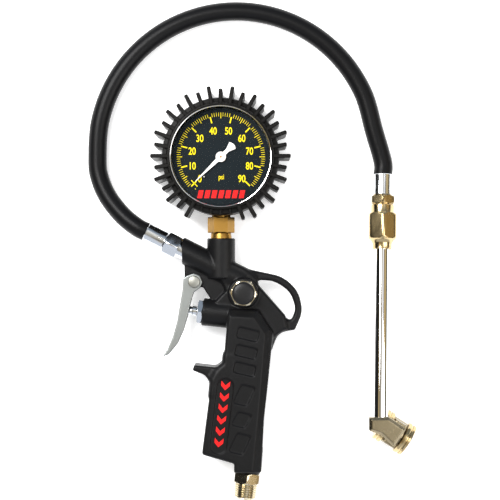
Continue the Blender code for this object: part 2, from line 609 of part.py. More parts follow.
union(sector, turned("shaft", [(17.7, 0.8), (22.9, 0.8)], sector_frame, sides=12),
      turned("pin", [(19.5, 0.6), (20.95, 0.6)], tail_frame, sides=12))
link_end = (tip_at[0] - tail_at[0], tip_at[1] - pivot_y - tail_at[1])
link_angle = math.atan2(link_end[1], link_end[0])
link_outline = (arc(1.3, link_angle + math.pi / 2, link_angle + 1.5 * math.pi, 6)
                + arc(1.3, link_angle - math.pi / 2, link_angle + math.pi / 2, 6, link_end))
link = prism("tip_link", link_outline, 20.15, 20.75, tail_frame)
cut(link, turned("eye", [(19.0, 0.66), (22.0, 0.66)], tail_frame, sides=12))

spiral = []
for i in range(51):
    angle = 0.4 * math.pi + 2 * math.pi * i / 20
    radius = 1.12 + 2.3 * i / 50
    spiral.append([(*polar(radius + dr, angle), z) for dr, z in
                   ((0.0, 20.95), (0.1, 20.95), (0.1, 21.4), (0.0, 21.4))])
hairspring = add_mesh("hairspring", *skin(spiral, False), gauge_frame)

dial = turned("gauge_dial", [(DIAL_Z[0], DIAL_R), (DIAL_Z[1], DIAL_R), (DIAL_Z[1], 3.2), (DIAL_Z[0], 3.2)],
              gauge_frame, closed=True, sides=GAUGE_SIDES)
pin_at = polar(STOP_PIN_R, STOP_PIN_ANGLE)
pin_frame = Matrix.Translation((GAUGE_X + pin_at[0], GAUGE_Y + pin_at[1], 0.0))
cut(dial, turned("hole", [(23.0, 0.46), (26.0, 0.46)], pin_frame, sides=10))
turned("pointer_stop_pin", [(DIAL_Z[0], 0.42), (27.2, 0.42)], pin_frame, sides=10)

pointer_frame = Matrix.Translation((GAUGE_X, GAUGE_Y, 0.0)) @ Matrix.Rotation(POINTER_REST, 4, "Z")
pointer_outline = ([(21.0, 0.25)] + arc(3.0, math.radians(14), math.radians(164), 8)
                   + [(-10.8, 2.6), (-10.8, -2.6)] + arc(3.0, math.radians(196), math.radians(346), 8)
                   + [(21.0, -0.25)])
pointer = prism("pointer", pointer_outline, 25.6, 26.4, pointer_frame)
cut(pointer, turned("hole", [(24.0, ARBOR_R + SEAT_GAP), (28.0, ARBOR_R + SEAT_GAP)], arbor_frame, sides=12))

# ---------------------------------------------------------------- hose
HEX_LENGTH = 8.8
wand_dir = Vector((-math.sin(WAND_YAW) * math.cos(WAND_RISE), -math.cos(WAND_YAW) * math.cos(WAND_RISE),
                   math.sin(WAND_RISE)))
wand_frame = axis_frame(WAND_START, wand_dir)


def crimp(name, frame, sides=ROUND):
    turned(name, [(0.0, FERRULE_R - 0.2), (0.3, FERRULE_R), (FERRULE_LENGTH - 0.3, FERRULE_R),
                  (FERRULE_LENGTH, FERRULE_R - 0.3), (FERRULE_LENGTH, 4.0), (FERRULE_LENGTH - 0.8, 4.0),
                  (FERRULE_LENGTH - 0.8, HOSE_CRIMP_R + CRIMP_GAP), (0.0, HOSE_CRIMP_R + CRIMP_GAP)],
           frame, closed=True, sides=sides)


ferrule_start = Vector(flat_point(BARREL_END)) - barrel_in * (HEX_LENGTH + 0.4 + FERRULE_LENGTH)
gun_crimp_frame = axis_frame(ferrule_start, barrel_in)
crimp("ferrule_gun", gun_crimp_frame)
crimp("ferrule_chuck", wand_frame)
insert_r = HOSE_BORE_R - RUN_GAP
neck = FERRULE_LENGTH + 0.1
turned("hose_insert_gun", [
    (0.5, insert_r - 0.3), (1.0, insert_r), (neck, insert_r), (neck, 3.9), (neck + 0.3, 6.5, "hex"),
    (neck + 0.3 + HEX_LENGTH - 0.05, 6.5, "hex"), (neck + 0.3 + HEX_LENGTH - 0.05, HOSE_THREAD_R),
    (neck + 9.0 + HOSE_THREAD_DEPTH, HOSE_THREAD_R), (neck + 9.0 + HOSE_THREAD_DEPTH, PORT_R), (0.5, PORT_R)],
    gun_crimp_frame, closed=True)
turned("hose_insert_chuck", [
    (0.5, insert_r - 0.3), (1.0, insert_r), (neck, insert_r), (neck, 3.9), (neck + 0.4, 6.7, "hex"),
    (17.8, 6.7, "hex"), (17.8, 6.2), (31.5, 6.2), (31.5, PORT_R), (0.5, PORT_R)], wand_frame, closed=True)

start = ferrule_start + barrel_in * (FERRULE_LENGTH - 1.0)
end = Vector(WAND_START) + wand_dir * (FERRULE_LENGTH - 1.0)
exit_gun = ferrule_start
exit_wand = Vector(WAND_START)
keys = [start, (start + exit_gun) / 2, exit_gun, exit_gun - barrel_in * 6.0]
keys += [Vector((-62.6, 47.0, 11.6)), Vector((-71.6, 58.0, 8.4)), Vector((-76.9, 69.5, 6.4))]
for degrees in range(184, 0, -16):
    keys.append(Vector((*polar(BEND_R, math.radians(degrees), BEND_CENTRE), HOSE_FLOOR_Z)))
keys += [exit_wand - wand_dir * 8.0, exit_wand, (exit_wand + end) / 2, end]


def smooth_path(points, per_span):
    """Catmull-Rom path through the points."""
    path = []
    last_index = len(points) - 1
    for i in range(last_index):
        p0, p1, p2, p3 = (Vector(points[min(max(j, 0), last_index)]) for j in (i - 1, i, i + 1, i + 2))
        for k in range(per_span):
            t = k / per_span
            path.append(0.5 * (2 * p1 + (p2 - p0) * t + (2 * p0 - 5 * p1 + 4 * p2 - p3) * t ** 2
                               + (3 * p1 - p0 - 3 * p2 + p3) * t ** 3))
    path.append(Vector(points[-1]))
    return path


hose_path = smooth_path(keys, 2)


def hose_radius(point):
    gun_depth = (point - exit_gun).dot(barrel_in)
    wand_depth = (point - exit_wand).dot(wand_dir)
    near_gun = (point - exit_gun).length < FERRULE_LENGTH + 1.0
    near_wand = (point - exit_wand).length < FERRULE_LENGTH + 1.0
    crimped = (near_gun and gun_depth > -0.5) or (near_wand and wand_depth > -0.5)
    return HOSE_CRIMP_R if crimped else HOSE_R


HOSE_SIDES = 12
outer = sweep("hose", hose_path, lambda i: [polar(hose_radius(hose_path[i]), 2 * math.pi * k / HOSE_SIDES)
                                            for k in range(HOSE_SIDES)])
inner = sweep("hose", hose_path, lambda i: [polar(HOSE_BORE_R + 0.12, 2 * math.pi * k / HOSE_SIDES)
                                            for k in range(HOSE_SIDES)])
add_mesh("hose", *skin(outer + list(reversed(inner)), True))

# ---------------------------------------------------------------- extension and chuck
turned("extension_coupling", [
    (18.4, 6.9), (23.4, 6.9), (23.6, 8.0, "hex"), (39.0, 8.0, "hex"), (40.6, 6.6), (42.0, EXT_TUBE_R + 1.4),
    (45.4, EXT_TUBE_R + 1.3), (45.4, EXT_TUBE_R + RUN_GAP), (36.5, EXT_TUBE_R + RUN_GAP), (36.5, 3.0),
    (32.0, 3.0), (32.0, 6.25),
    (18.4, 6.25)], wand_frame, closed=True)
turned("extension_tube", [
    (EXT_TUBE_SPAN[0], EXT_TUBE_R), (EXT_TUBE_SPAN[1], EXT_TUBE_R), (EXT_TUBE_SPAN[1], EXT_TUBE_BORE_R),
    (EXT_TUBE_SPAN[0], EXT_TUBE_BORE_R)], wand_frame, closed=True)

spool_dir = Vector((math.cos(SPOOL_YAW), math.sin(SPOOL_YAW), 0.0))
spool_frame = axis_frame(SPOOL_CENTRE, spool_dir)
chuck_outline = filleted([
    (84.2, -72.6, 0.8), (84.2, -80.4, 1.0), (91.0, -82.6, 0.0), (98.6, -90.0, 1.0), (106.2, -79.2, 1.0),
    (97.6, -73.4, 1.0), (95.6, -72.2, 0.8)])
chuck_body = slab("chuck_body", chuck_outline, CHUCK_TOP_Z, 1.0)
spool_across = Vector((-spool_dir.y, spool_dir.x, 0.0))


def spool_point(along, across):
    point = Vector(SPOOL_CENTRE) + spool_dir * along + spool_across * across
    return (point.x, point.y)


saddle_outline = [spool_point(-4.1, -7.4), spool_point(2.9, -7.4), spool_point(2.9, 7.8),
    spool_point(-4.1, 7.8)]
union(chuck_body, prism("saddle", saddle_outline, *CHUCK_SADDLE_Z),
      turned("neck", [(-8.0, 7.0), (-4.6, 7.0), (-4.6, 8.6), (4.6, 8.6), (4.6, 7.0), (8.0, 7.0)],
      spool_frame))
tube_end = Vector(WAND_START) + wand_dir * (EXT_TUBE_SPAN[1] + 0.1)
passage_dir = (Vector(SPOOL_CENTRE) - tube_end).normalized()
cut(chuck_body,
    turned("bore", [(130.0, EXT_TUBE_R + RUN_GAP), (EXT_TUBE_SPAN[1] + 0.1, EXT_TUBE_R + RUN_GAP)],
    wand_frame),
    turned("bore", [(-12.0, 3.4), (-1.0, 3.4)], spool_frame, sides=16),
    turned("bore", [(1.0, 3.4), (12.0, 3.4)], spool_frame, sides=16),
    bar(tube_end - wand_dir * 1.0, Vector(SPOOL_CENTRE) + passage_dir * 2.2, 1.8, 10))
for label, flip in (("front", 1.0), ("rear", -1.0)):
    frame = axis_frame(SPOOL_CENTRE, spool_dir * flip)
    turned("chuck_cap_" + label, [
        (4.9, 9.6), (5.2, CAP_R), (7.0, CAP_R), (7.3, 9.3), (8.0, 9.3), (8.3, CAP_R), (9.6, CAP_R),
        (9.9, 9.6),
        (9.9, MOUTH_R), (9.3, MOUTH_R), (9.3, 5.6), (8.05, 5.6), (8.05, 7.05), (4.9, 7.05)], frame,
        closed=True)
    turned("chuck_seal_" + label, [(8.08, 2.7), (8.08, 5.52), (9.26, 5.52), (9.26, 2.7)], frame, closed=True)
    turned("chuck_poppet_" + label, [(3.2, 1.0), (5.6, 1.0), (5.6, 3.0), (7.6, 3.0), (7.6, 1.0), (9.0, 1.0),
                                     (9.4, 0.7)], frame, sides=12)
    coil("chuck_spring_" + label, axis_frame(Vector(SPOOL_CENTRE) + spool_dir * flip * 1.05,
        spool_dir * flip),
         2.2, 0.3, 4.5, 4)

# ---------------------------------------------------------------- finishes and origins
finish_of = {
    "gun_body": "powder_black", "hose": "rubber_black", "gauge_boot": "rubber_black",
        "deflate_button": "plastic_black",
    "inlet_fitting": "nickel", "trigger": "aluminium", "trigger_pin": "steel", "trigger_pin_clip": "steel",
    "valve_gland_nut": "zinc", "valve_stem": "zinc", "valve_stem_o_ring": "rubber_black",
    "valve_disc": "rubber_black", "valve_spring": "steel", "deflate_bushing": "nickel",
    "deflate_spindle": "brass", "deflate_seal": "rubber_black", "deflate_spring": "steel",
    "gauge_socket": "brass", "gauge_case": "steel", "gauge_bezel": "chrome", "gauge_lens": "glass",
    "gauge_dial": "dial_black", "pointer": "white", "ferrule_gun": "zinc", "ferrule_chuck": "zinc",
    "hose_insert_gun": "zinc", "hose_insert_chuck": "nickel", "extension_coupling": "nickel",
    "extension_tube": "chrome", "chuck_body": "nickel", "chuck_cap_front": "nickel",
    "chuck_cap_rear": "nickel",
    "chuck_seal_front": "rubber_black", "chuck_seal_rear": "rubber_black", "chuck_spring_front": "steel",
    "chuck_spring_rear": "steel",
}
for obj in list(bpy.data.objects):
    paint(obj, *FINISHES[finish_of.get(obj.name, "brass")])

origins = {
    "trigger": flat_point(PIVOT), "valve_stem": flat_point(VALVE_END), "valve_disc": flat_point(VALVE_END),
    "deflate_button": (*DEFLATE_AT, 0.0), "deflate_spindle": (*DEFLATE_AT, 0.0),
    "deflate_seal": (*DEFLATE_AT, 0.0), "pinion_arbor": (GAUGE_X, GAUGE_Y, MID_Z),
    "pointer": (GAUGE_X, GAUGE_Y, MID_Z), "sector_gear": (GAUGE_X, GAUGE_Y + pivot_y, MID_Z),
    "tip_link": tuple(tail_frame.translation), "chuck_poppet_front": SPOOL_CENTRE,
    "chuck_poppet_rear": SPOOL_CENTRE,
}
for name, point in origins.items():
    move_origin(bpy.data.objects[name], point)
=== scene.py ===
"""Tyre inflator with gauge: the look of the part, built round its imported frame.

Sizes are in millimetres and become metres when a mesh is made.
"""
import math

import bmesh
import bpy
import numpy as np
from mathutils import Matrix, Vector


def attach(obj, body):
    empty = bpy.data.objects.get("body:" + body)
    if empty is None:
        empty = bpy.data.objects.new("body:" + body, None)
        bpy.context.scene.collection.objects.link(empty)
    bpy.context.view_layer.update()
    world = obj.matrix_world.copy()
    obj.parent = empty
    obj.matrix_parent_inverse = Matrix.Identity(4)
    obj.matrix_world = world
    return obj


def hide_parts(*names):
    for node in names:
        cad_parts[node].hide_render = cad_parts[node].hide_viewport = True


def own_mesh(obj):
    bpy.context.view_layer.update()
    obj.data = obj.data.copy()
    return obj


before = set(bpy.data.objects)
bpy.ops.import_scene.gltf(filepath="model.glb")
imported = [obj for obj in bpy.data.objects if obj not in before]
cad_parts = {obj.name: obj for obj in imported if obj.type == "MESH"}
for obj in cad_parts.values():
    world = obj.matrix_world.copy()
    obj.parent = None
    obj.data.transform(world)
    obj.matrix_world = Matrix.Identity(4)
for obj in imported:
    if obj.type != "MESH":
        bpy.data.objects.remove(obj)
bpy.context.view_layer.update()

METRES_PER_MM = 0.001
UP = Vector((0.0, 0.0, 1.0))
MID_Z = 13.5
LEAN = math.radians(6.0)
BARREL_TILT = math.radians(27.0)
BARREL_END = (-29.0, 27.4)
GAUGE_AT = (-3.5, 81.6)
VALVE_END = (-14.7, -10.6)
INLET_END = (12.2, -107.1)
DEFLATE_AT = (9.9, 0.8)
PIVOT = (-19.6, 7.4)
HANDLE_Z = (0.6, 26.4)
BODY_Z = (7.4, 19.6)
LOOP_Z = (9.2, 17.8)
REST_Z = (2.4, 24.6)
LUG_Z = (10.4, 16.6)
TRIGGER_Z = (8.2, 18.8)
WAND_START = (94.0, 71.8, 6.7)
WAND_RISE = math.radians(6.6)
WAND_YAW = math.radians(1.1)
SPOOL_CENTRE = (100.5, -83.3, 10.2)
SPOOL_YAW = math.radians(-32.0)
POINTER_REST = math.radians(224.0)
BEND_CENTRE = (5.5, 86.6)
BEND_R = 84.2
HOSE_R = 5.6


# ---------------------------------------------------------------- geometry helpers
def polar(radius, angle, centre=(0.0, 0.0)):
    return (centre[0] + radius * math.cos(angle), centre[1] + radius * math.sin(angle))


def arc(radius, start, end, count):
    return [polar(radius, start + (end - start) * i / count) for i in range(count + 1)]


def axis_frame(origin, direction):
    """Frame whose local Z runs along the direction and local X leans up."""
    z_axis = Vector(direction).normalized()
    x_axis = (UP - UP.dot(z_axis) * z_axis).normalized()
    spot = Matrix((x_axis, z_axis.cross(x_axis), z_axis)).transposed().to_4x4()
    spot.translation = Vector(origin)
    return spot


def flat_point(point):
    return (point[0], point[1], MID_Z)


def add_mesh(name, verts, faces, spot=None, smooth=True, crease=35.0):
    place = spot or Matrix.Identity(4)
    mesh = bpy.data.meshes.new(name)
    mesh.from_pydata([(place @ Vector(v)) * METRES_PER_MM for v in verts], [], faces)
    work = bmesh.new()
    work.from_mesh(mesh)
    bmesh.ops.recalc_face_normals(work, faces=work.faces)
    work.to_mesh(mesh)
    work.free()
    if smooth:
        mesh.shade_smooth()
        mesh.set_sharp_from_angle(angle=math.radians(crease))
    obj = bpy.data.objects.new(name, mesh)
    bpy.context.scene.collection.objects.link(obj)
    return obj


def skin(rings, closed):
    """Vertices and faces through rings of equal count; open ends are capped."""
    count = len(rings[0])
    verts = [point for ring in rings for point in ring]
    faces = []
    for i in range(len(rings) if closed else len(rings) - 1):
        lower, upper = i * count, ((i + 1) % len(rings)) * count
        for k in range(count):
            after = (k + 1) % count
            faces.append((lower + k, lower + after, upper + after, upper + k))
    if not closed:
        faces.append(tuple(reversed(range(count))))
        faces.append(tuple(range((len(rings) - 1) * count, len(rings) * count)))
    return verts, faces


def turned(name, stations, spot, closed=False, sides=72, crease=35.0):
    """Turned piece; a station is (height, radius) or (height, half flats, corner limit) for a hex."""
    rings = []
    for station in stations:
        ring = []
        for k in range(sides):
            angle = 2 * math.pi * k / sides
            reach = station[1]
            if len(station) > 2:
                reach = min(reach / math.cos(angle % (math.pi / 3) - math.pi / 6), station[2])
            ring.append((*polar(reach, angle), station[0]))
        rings.append(ring)
    return add_mesh(name, *skin(rings, closed), spot, crease=crease)


# The gauge stem passes its heights downwards with a negative chamfer, so its chamfers lean outwards:
# its hex is longer by the chamfer at each end, and each rim stands proud of its own end face.
def hex_stations(low, high, half, chamfer=0.8):
    corner = half / math.cos(math.pi / 6) + 0.01
    edge = half + (0.12 if chamfer > 0 else 0.6)
    chamfer = abs(chamfer)
    return [(low, half, edge), (low + chamfer * 0.35, half, (corner + edge) / 2),
            (low + chamfer, half, corner), (high - chamfer, half, corner),
            (high - chamfer * 0.35, half, (corner + edge) / 2), (high, half, edge)]


def thread_stations(low, high, radius_low, radius_high, pitch, depth):
    """Ring grooves that read as a thread."""
    stations = []
    turns = max(1, round((high - low) / pitch))
    for i in range(turns):
        for part, drop in ((0.0, depth), (0.35, 0.0), (0.6, 0.0), (0.95, depth)):
            t = (i + part) / turns
            stations.append((low + (high - low) * t, radius_low + (radius_high - radius_low) * t - drop))
    return stations


def merge(name, parts):
    """One object made of several vertex and face lists, in millimetres."""
    verts, faces = [], []
    for part_verts, part_faces in parts:
        base = len(verts)
        verts += part_verts
        faces += [tuple(i + base for i in face) for face in part_faces]
    return add_mesh(name, verts, faces)


# ---------------------------------------------------------------- solid fields
def polygon_field(px, py, corners):
    """Signed distance to a closed outline, negative inside."""
    best = np.full(px.shape, 1e9)
    inside = np.zeros(px.shape, bool)
    count = len(corners)
    for i in range(count):
        ax, ay = corners[i][:2]
        bx, by = corners[(i + 1) % count][:2]
        ex, ey = bx - ax, by - ay
        t = np.clip(((px - ax) * ex + (py - ay) * ey) / (ex * ex + ey * ey), 0.0, 1.0)
        best = np.minimum(best, (px - ax - t * ex) ** 2 + (py - ay - t * ey) ** 2)
        crosses = (ay > py) != (by > py)
        inside ^= crosses & (px < ax + (py - ay) * ex / (ey if abs(ey) > 1e-9 else 1e-9))
    return np.where(inside, -1.0, 1.0) * np.sqrt(best)


def extrude_field(flat, z, z_low, z_high, edge):
    """Outline field given a thickness, with edges rounded by a radius."""
    a = flat + edge
    b = np.abs(z - (z_low + z_high) / 2) - (z_high - z_low) / 2 + edge
    outside = np.sqrt(np.maximum(a, 0.0) ** 2 + np.maximum(b, 0.0) ** 2)
    return np.minimum(np.maximum(a, b), 0.0) + outside - edge


def rod_field(x, y, z, start, direction, radius, length, edge=0.5):
    """Round bar from a start point, with rounded rims."""
    d = Vector(direction).normalized()
    rx, ry, rz = x - start[0], y - start[1], z - start[2]
    along = rx * d.x + ry * d.y + rz * d.z
    off = np.sqrt(np.maximum(rx ** 2 + ry ** 2 + rz ** 2 - along ** 2, 0.0)) - radius + edge
    end = np.abs(along - length / 2) - length / 2 + edge
    outside = np.sqrt(np.maximum(off, 0.0) ** 2 + np.maximum(end, 0.0) ** 2)
    return np.minimum(np.maximum(off, end), 0.0) + outside - edge


def soft_union(a, b, width):
    mix = np.clip(0.5 + 0.5 * (b - a) / width, 0.0, 1.0)
    return b + (a - b) * mix - width * mix * (1.0 - mix)


def soft_cut(a, b, width):
    return -soft_union(-a, b, width)


def net_mesh(name, field, low, step):
    """Smooth closed mesh on the zero surface of a field sampled on a grid."""
    shape = tuple(n - 1 for n in field.shape)
    total = np.zeros((*shape, 3), np.float32)
    count = np.zeros(shape, np.float32)
    crossings = []
    for axis in range(3):
        head = [slice(None)] * 3
        tail = [slice(None)] * 3
        head[axis], tail[axis] = slice(None, -1), slice(1, None)
        f0, f1 = field[tuple(head)], field[tuple(tail)]
        cross = (f0 < 0) != (f1 < 0)
        t = np.where(cross, f0 / np.where(f0 == f1, 1.0, f0 - f1), 0.0)
        crossings.append((cross, f0 < 0))
        others = [a for a in range(3) if a != axis]
        for du in (0, 1):
            for dv in (0, 1):
                pick = [slice(None)] * 3
                pick[others[0]] = slice(du, shape[others[0]] + du)
                pick[others[1]] = slice(dv, shape[others[1]] + dv)
                here = cross[tuple(pick)]
                total[..., axis] += t[tuple(pick)]
                total[..., others[0]] += here * du
                total[..., others[1]] += here * dv
                count += here
    cells = np.argwhere(count > 0)
    index = np.full(shape, -1, np.int64)
    index[tuple(cells.T)] = np.arange(len(cells))
    points = (cells + total[tuple(cells.T)] / count[tuple(cells.T)][:, None]) * step + np.array(low)
    quads = []
    for axis in range(3):
        cross, inside = crossings[axis]
        u, v = [a for a in range(3) if a != axis]
        spots = np.argwhere(cross)
        spots = spots[(spots[:, u] > 0) & (spots[:, v] > 0)
                      & (spots[:, u] < shape[u]) & (spots[:, v] < shape[v])]
        corners = []
        for du, dv in ((1, 1), (0, 1), (0, 0), (1, 0)):
            cell = spots.copy()
            cell[:, u] -= du
            cell[:, v] -= dv
            corners.append(index[tuple(cell.T)])
        quad = np.stack(corners, axis=1)
        flip = inside[tuple(spots.T)] ^ (axis == 1)
        quad[~flip] = quad[~flip][:, ::-1]
        quads.append(quad)
    quads = np.concatenate(quads)
    mesh = bpy.data.meshes.new(name)
    mesh.vertices.add(len(points))
    mesh.vertices.foreach_set("co", (points * METRES_PER_MM).astype(np.float32).ravel())
    mesh.loops.add(len(quads) * 4)
    mesh.loops.foreach_set("vertex_index", quads.astype(np.int32).ravel())
    mesh.polygons.add(len(quads))
    mesh.polygons.foreach_set("loop_start", np.arange(0, len(quads) * 4, 4, dtype=np.int32))
    mesh.update(calc_edges=True)
    mesh.shade_smooth()
    obj = bpy.data.objects.new(name, mesh)
    bpy.context.scene.collection.objects.link(obj)
    return obj


def grid(low, high, step):
    axes = [np.arange(a, b + step, step) for a, b in zip(low, high)]
    return np.meshgrid(*axes, indexing="ij")


# ---------------------------------------------------------------- finishes
def finish(name, colour, metallic=0.0, roughness=0.5, grain=0.0, grain_size=2000.0, mottle=0.0,
           mottle_size=60.0, specular=0.5):
    """A surface finish; grain is a fine bump and mottle varies the roughness."""
    material = bpy.data.materials.new(name)
    material.use_nodes = True
    nodes, links = material.node_tree.nodes, material.node_tree.links
    shader = nodes["Principled BSDF"]
    shader.inputs["Base Color"].default_value = (*colour, 1.0)
    shader.inputs["Metallic"].default_value = metallic
    shader.inputs["Roughness"].default_value = roughness
    shader.inputs["Specular IOR Level"].default_value = specular
    place = nodes.new("ShaderNodeTexCoord")
    source = place.outputs["Object"]
    if grain:
        noise = nodes.new("ShaderNodeTexNoise")
        noise.inputs["Scale"].default_value = grain_size
        noise.inputs["Detail"].default_value = 3.0
        bump = nodes.new("ShaderNodeBump")
        bump.inputs["Strength"].default_value = grain
        bump.inputs["Distance"].default_value = 0.0002
        links.new(source, noise.inputs["Vector"])
        links.new(noise.outputs["Fac"], bump.inputs["Height"])
        links.new(bump.outputs["Normal"], shader.inputs["Normal"])
    if mottle:
        blot = nodes.new("ShaderNodeTexNoise")
        blot.inputs["Scale"].default_value = mottle_size
        blot.inputs["Detail"].default_value = 4.0
        spread = nodes.new("ShaderNodeMapRange")
        spread.inputs["To Min"].default_value = roughness * (1 - mottle)
        spread.inputs["To Max"].default_value = roughness * (1 + mottle)
        links.new(source, blot.inputs["Vector"])
        links.new(blot.outputs["Fac"], spread.inputs["Value"])
        links.new(spread.outputs["Result"], shader.inputs["Roughness"])
    return material


COAT = finish("powder_coat", (0.006, 0.006, 0.0064), roughness=0.36, grain=0.5, grain_size=2600.0, mottle=0.1,
              specular=0.16)
RUBBER = finish("boot_rubber", (0.006, 0.0056, 0.0052), roughness=0.4, grain=0.2, grain_size=1500.0,
                mottle=0.2, specular=0.1)
HOSE_RUBBER = finish("hose_rubber", (0.0055, 0.0055, 0.006), roughness=0.34, grain=0.35, grain_size=1200.0,
                     mottle=0.15, specular=0.12)
PLASTIC = finish("button_plastic", (0.009, 0.009, 0.0095), roughness=0.35, grain=0.2, grain_size=2000.0,
                 specular=0.25)
NICKEL = finish("nickel", (0.66, 0.59, 0.44), 1.0, 0.16, mottle=0.3, mottle_size=200.0)
CHAMPAGNE = finish("champagne_nickel", (0.58, 0.45, 0.24), 1.0, 0.2, mottle=0.3, mottle_size=150.0)
ZINC = finish("zinc", (0.78, 0.8, 0.82), 1.0, 0.17, mottle=0.3, mottle_size=200.0)
CHROME = finish("chrome", (0.86, 0.86, 0.86), 1.0, 0.05)
STEEL = finish("steel", (0.62, 0.62, 0.6), 1.0, 0.3)
CASTING = finish("satin_aluminium", (0.29, 0.305, 0.3), 0.9, 0.36, grain=0.15, grain_size=900.0, mottle=0.2)
RIVET = finish("rivet_steel", (0.3, 0.3, 0.27), 0.85, 0.4, grain=0.2, grain_size=900.0)
BLOCK = finish("chuck_nickel", (0.3, 0.25, 0.16), 1.0, 0.26, mottle=0.3, mottle_size=200.0)
BRASS = finish("brass", (0.36, 0.2, 0.045), 1.0, 0.34, grain=0.2, grain_size=400.0, mottle=0.3)
DIAL = finish("dial_black", (0.006, 0.0105, 0.0135), roughness=0.5, specular=0.08)
YELLOW = finish("scale_yellow", (0.85, 0.68, 0.01), roughness=0.6, specular=0.1)
WHITE = finish("pointer_white", (0.9, 0.88, 0.86), roughness=0.5)
RED = finish("mark_red", (0.72, 0.015, 0.015), roughness=0.5, specular=0.1)
SEAL = finish("seal_rubber", (0.02, 0.02, 0.02), roughness=0.6)

GLASS = bpy.data.materials.new("lens_glass")
GLASS.use_nodes = True
glass_nodes = GLASS.node_tree.nodes
glass_nodes.clear()
clear = glass_nodes.new("ShaderNodeBsdfTransparent")
gloss = glass_nodes.new("ShaderNodeBsdfGlossy")
gloss.inputs["Roughness"].default_value = 0.03
rim = glass_nodes.new("ShaderNodeFresnel")
rim.inputs["IOR"].default_value = 1.06
blend_glass = glass_nodes.new("ShaderNodeMixShader")
glass_out = glass_nodes.new("ShaderNodeOutputMaterial")
GLASS.node_tree.links.new(rim.outputs[0], blend_glass.inputs[0])
GLASS.node_tree.links.new(clear.outputs[0], blend_glass.inputs[1])
GLASS.node_tree.links.new(gloss.outputs[0], blend_glass.inputs[2])
GLASS.node_tree.links.new(blend_glass.outputs[0], glass_out.inputs["Surface"])


def place(obj, material, body="gun", slot=None, *nodes):
    """Give a piece its finish and its body, and hide the CAD nodes it stands for; the slot is not used."""
    obj.data.materials.clear()
    obj.data.materials.append(material)
    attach(obj, body)
    if nodes:
        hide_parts(*nodes)
    return obj


handle_up = Vector((math.sin(LEAN), math.cos(LEAN), 0.0))
valve_in = Vector((math.cos(LEAN), -math.sin(LEAN), 0.0))
barrel_in = Vector((math.cos(BARREL_TILT), -math.sin(BARREL_TILT), 0.0))
wand_dir = Vector((-math.sin(WAND_YAW) * math.cos(WAND_RISE), -math.cos(WAND_YAW) * math.cos(WAND_RISE),
                   math.sin(WAND_RISE)))
spool_dir = Vector((math.cos(SPOOL_YAW), math.sin(SPOOL_YAW), 0.0))
valve_spot = axis_frame(flat_point(VALVE_END), valve_in)
inlet_spot = axis_frame(flat_point(INLET_END), -handle_up)
stem_spot = axis_frame(flat_point(GAUGE_AT), (0.0, -1.0, 0.0))
gauge_spot = Matrix.Translation((*GAUGE_AT, 0.0))
deflate_spot = Matrix.Translation((*DEFLATE_AT, 0.0)) @ Matrix.Rotation(-LEAN, 4, "Z")
wand_spot = axis_frame(WAND_START, wand_dir)
FERRULE_LENGTH = 12.6
ferrule_start = Vector(flat_point(BARREL_END)) - barrel_in * (9.2 + FERRULE_LENGTH)
gun_crimp_spot = axis_frame(ferrule_start, barrel_in)


# ---------------------------------------------------------------- hose
def smooth_path(points, per_span):
    path = []
    last = len(points) - 1
    for i in range(last):
        p0, p1, p2, p3 = (Vector(points[min(max(j, 0), last)]) for j in (i - 1, i, i + 1, i + 2))
        for k in range(per_span):
            t = k / per_span
            path.append(0.5 * (2 * p1 + (p2 - p0) * t + (2 * p0 - 5 * p1 + 4 * p2 - p3) * t ** 2
                               + (3 * p1 - p0 - 3 * p2 + p3) * t ** 3))
    path.append(Vector(points[-1]))
    return path


hose_keys = [ferrule_start + barrel_in * 2.0, ferrule_start, ferrule_start - barrel_in * 6.0,
             Vector((-62.6, 47.0, 11.6)), Vector((-71.6, 58.0, 8.4)), Vector((-76.9, 69.5, 6.4))]
for degrees in range(184, 0, -16):
    hose_keys.append(Vector((*polar(BEND_R, math.radians(degrees), BEND_CENTRE), 5.7)))
hose_keys += [Vector(WAND_START) - wand_dir * 8.0, Vector(WAND_START), Vector(WAND_START) + wand_dir * 2.0]
hose_path = smooth_path(hose_keys, 10)
hose_rings = []
for i, centre in enumerate(hose_path):
    ahead = hose_path[min(i + 1, len(hose_path) - 1)] - hose_path[max(i - 1, 0)]
    spot = axis_frame(centre, ahead)
    ring = []
    for k in range(32):
        angle = 2 * math.pi * k / 32
        inner_crimp = 0.45 if i < 10 or i > len(hose_path) - 11 else 0.0
        ring.append(tuple(spot @ Vector((*polar(HOSE_R - inner_crimp, angle), 0.0))))
    hose_rings.append(ring)
hose = add_mesh("hose_cover", *skin(hose_rings, False))


# ---------------------------------------------------------------- gun body
def filleted(corners, steps=6):
    """Closed outline with rounded corners; a corner is (x, y, radius)."""
    outline = []
    count = len(corners)
    for i, (x, y, radius) in enumerate(corners):
        here = Vector((x, y))
        if radius <= 0.0:
            outline.append((x, y))
            continue
        back = Vector(corners[i - 1][:2]) - here
        ahead = Vector(corners[(i + 1) % count][:2]) - here
        reach = min(radius / math.tan(back.angle(ahead) / 2), 0.45 * back.length, 0.45 * ahead.length)
        first, last = here + back.normalized() * reach, here + ahead.normalized() * reach
        for k in range(steps + 1):
            t = k / steps
            outline.append(tuple(first * (1 - t) ** 2 + here * (2 * t * (1 - t)) + last * t ** 2))
    return outline


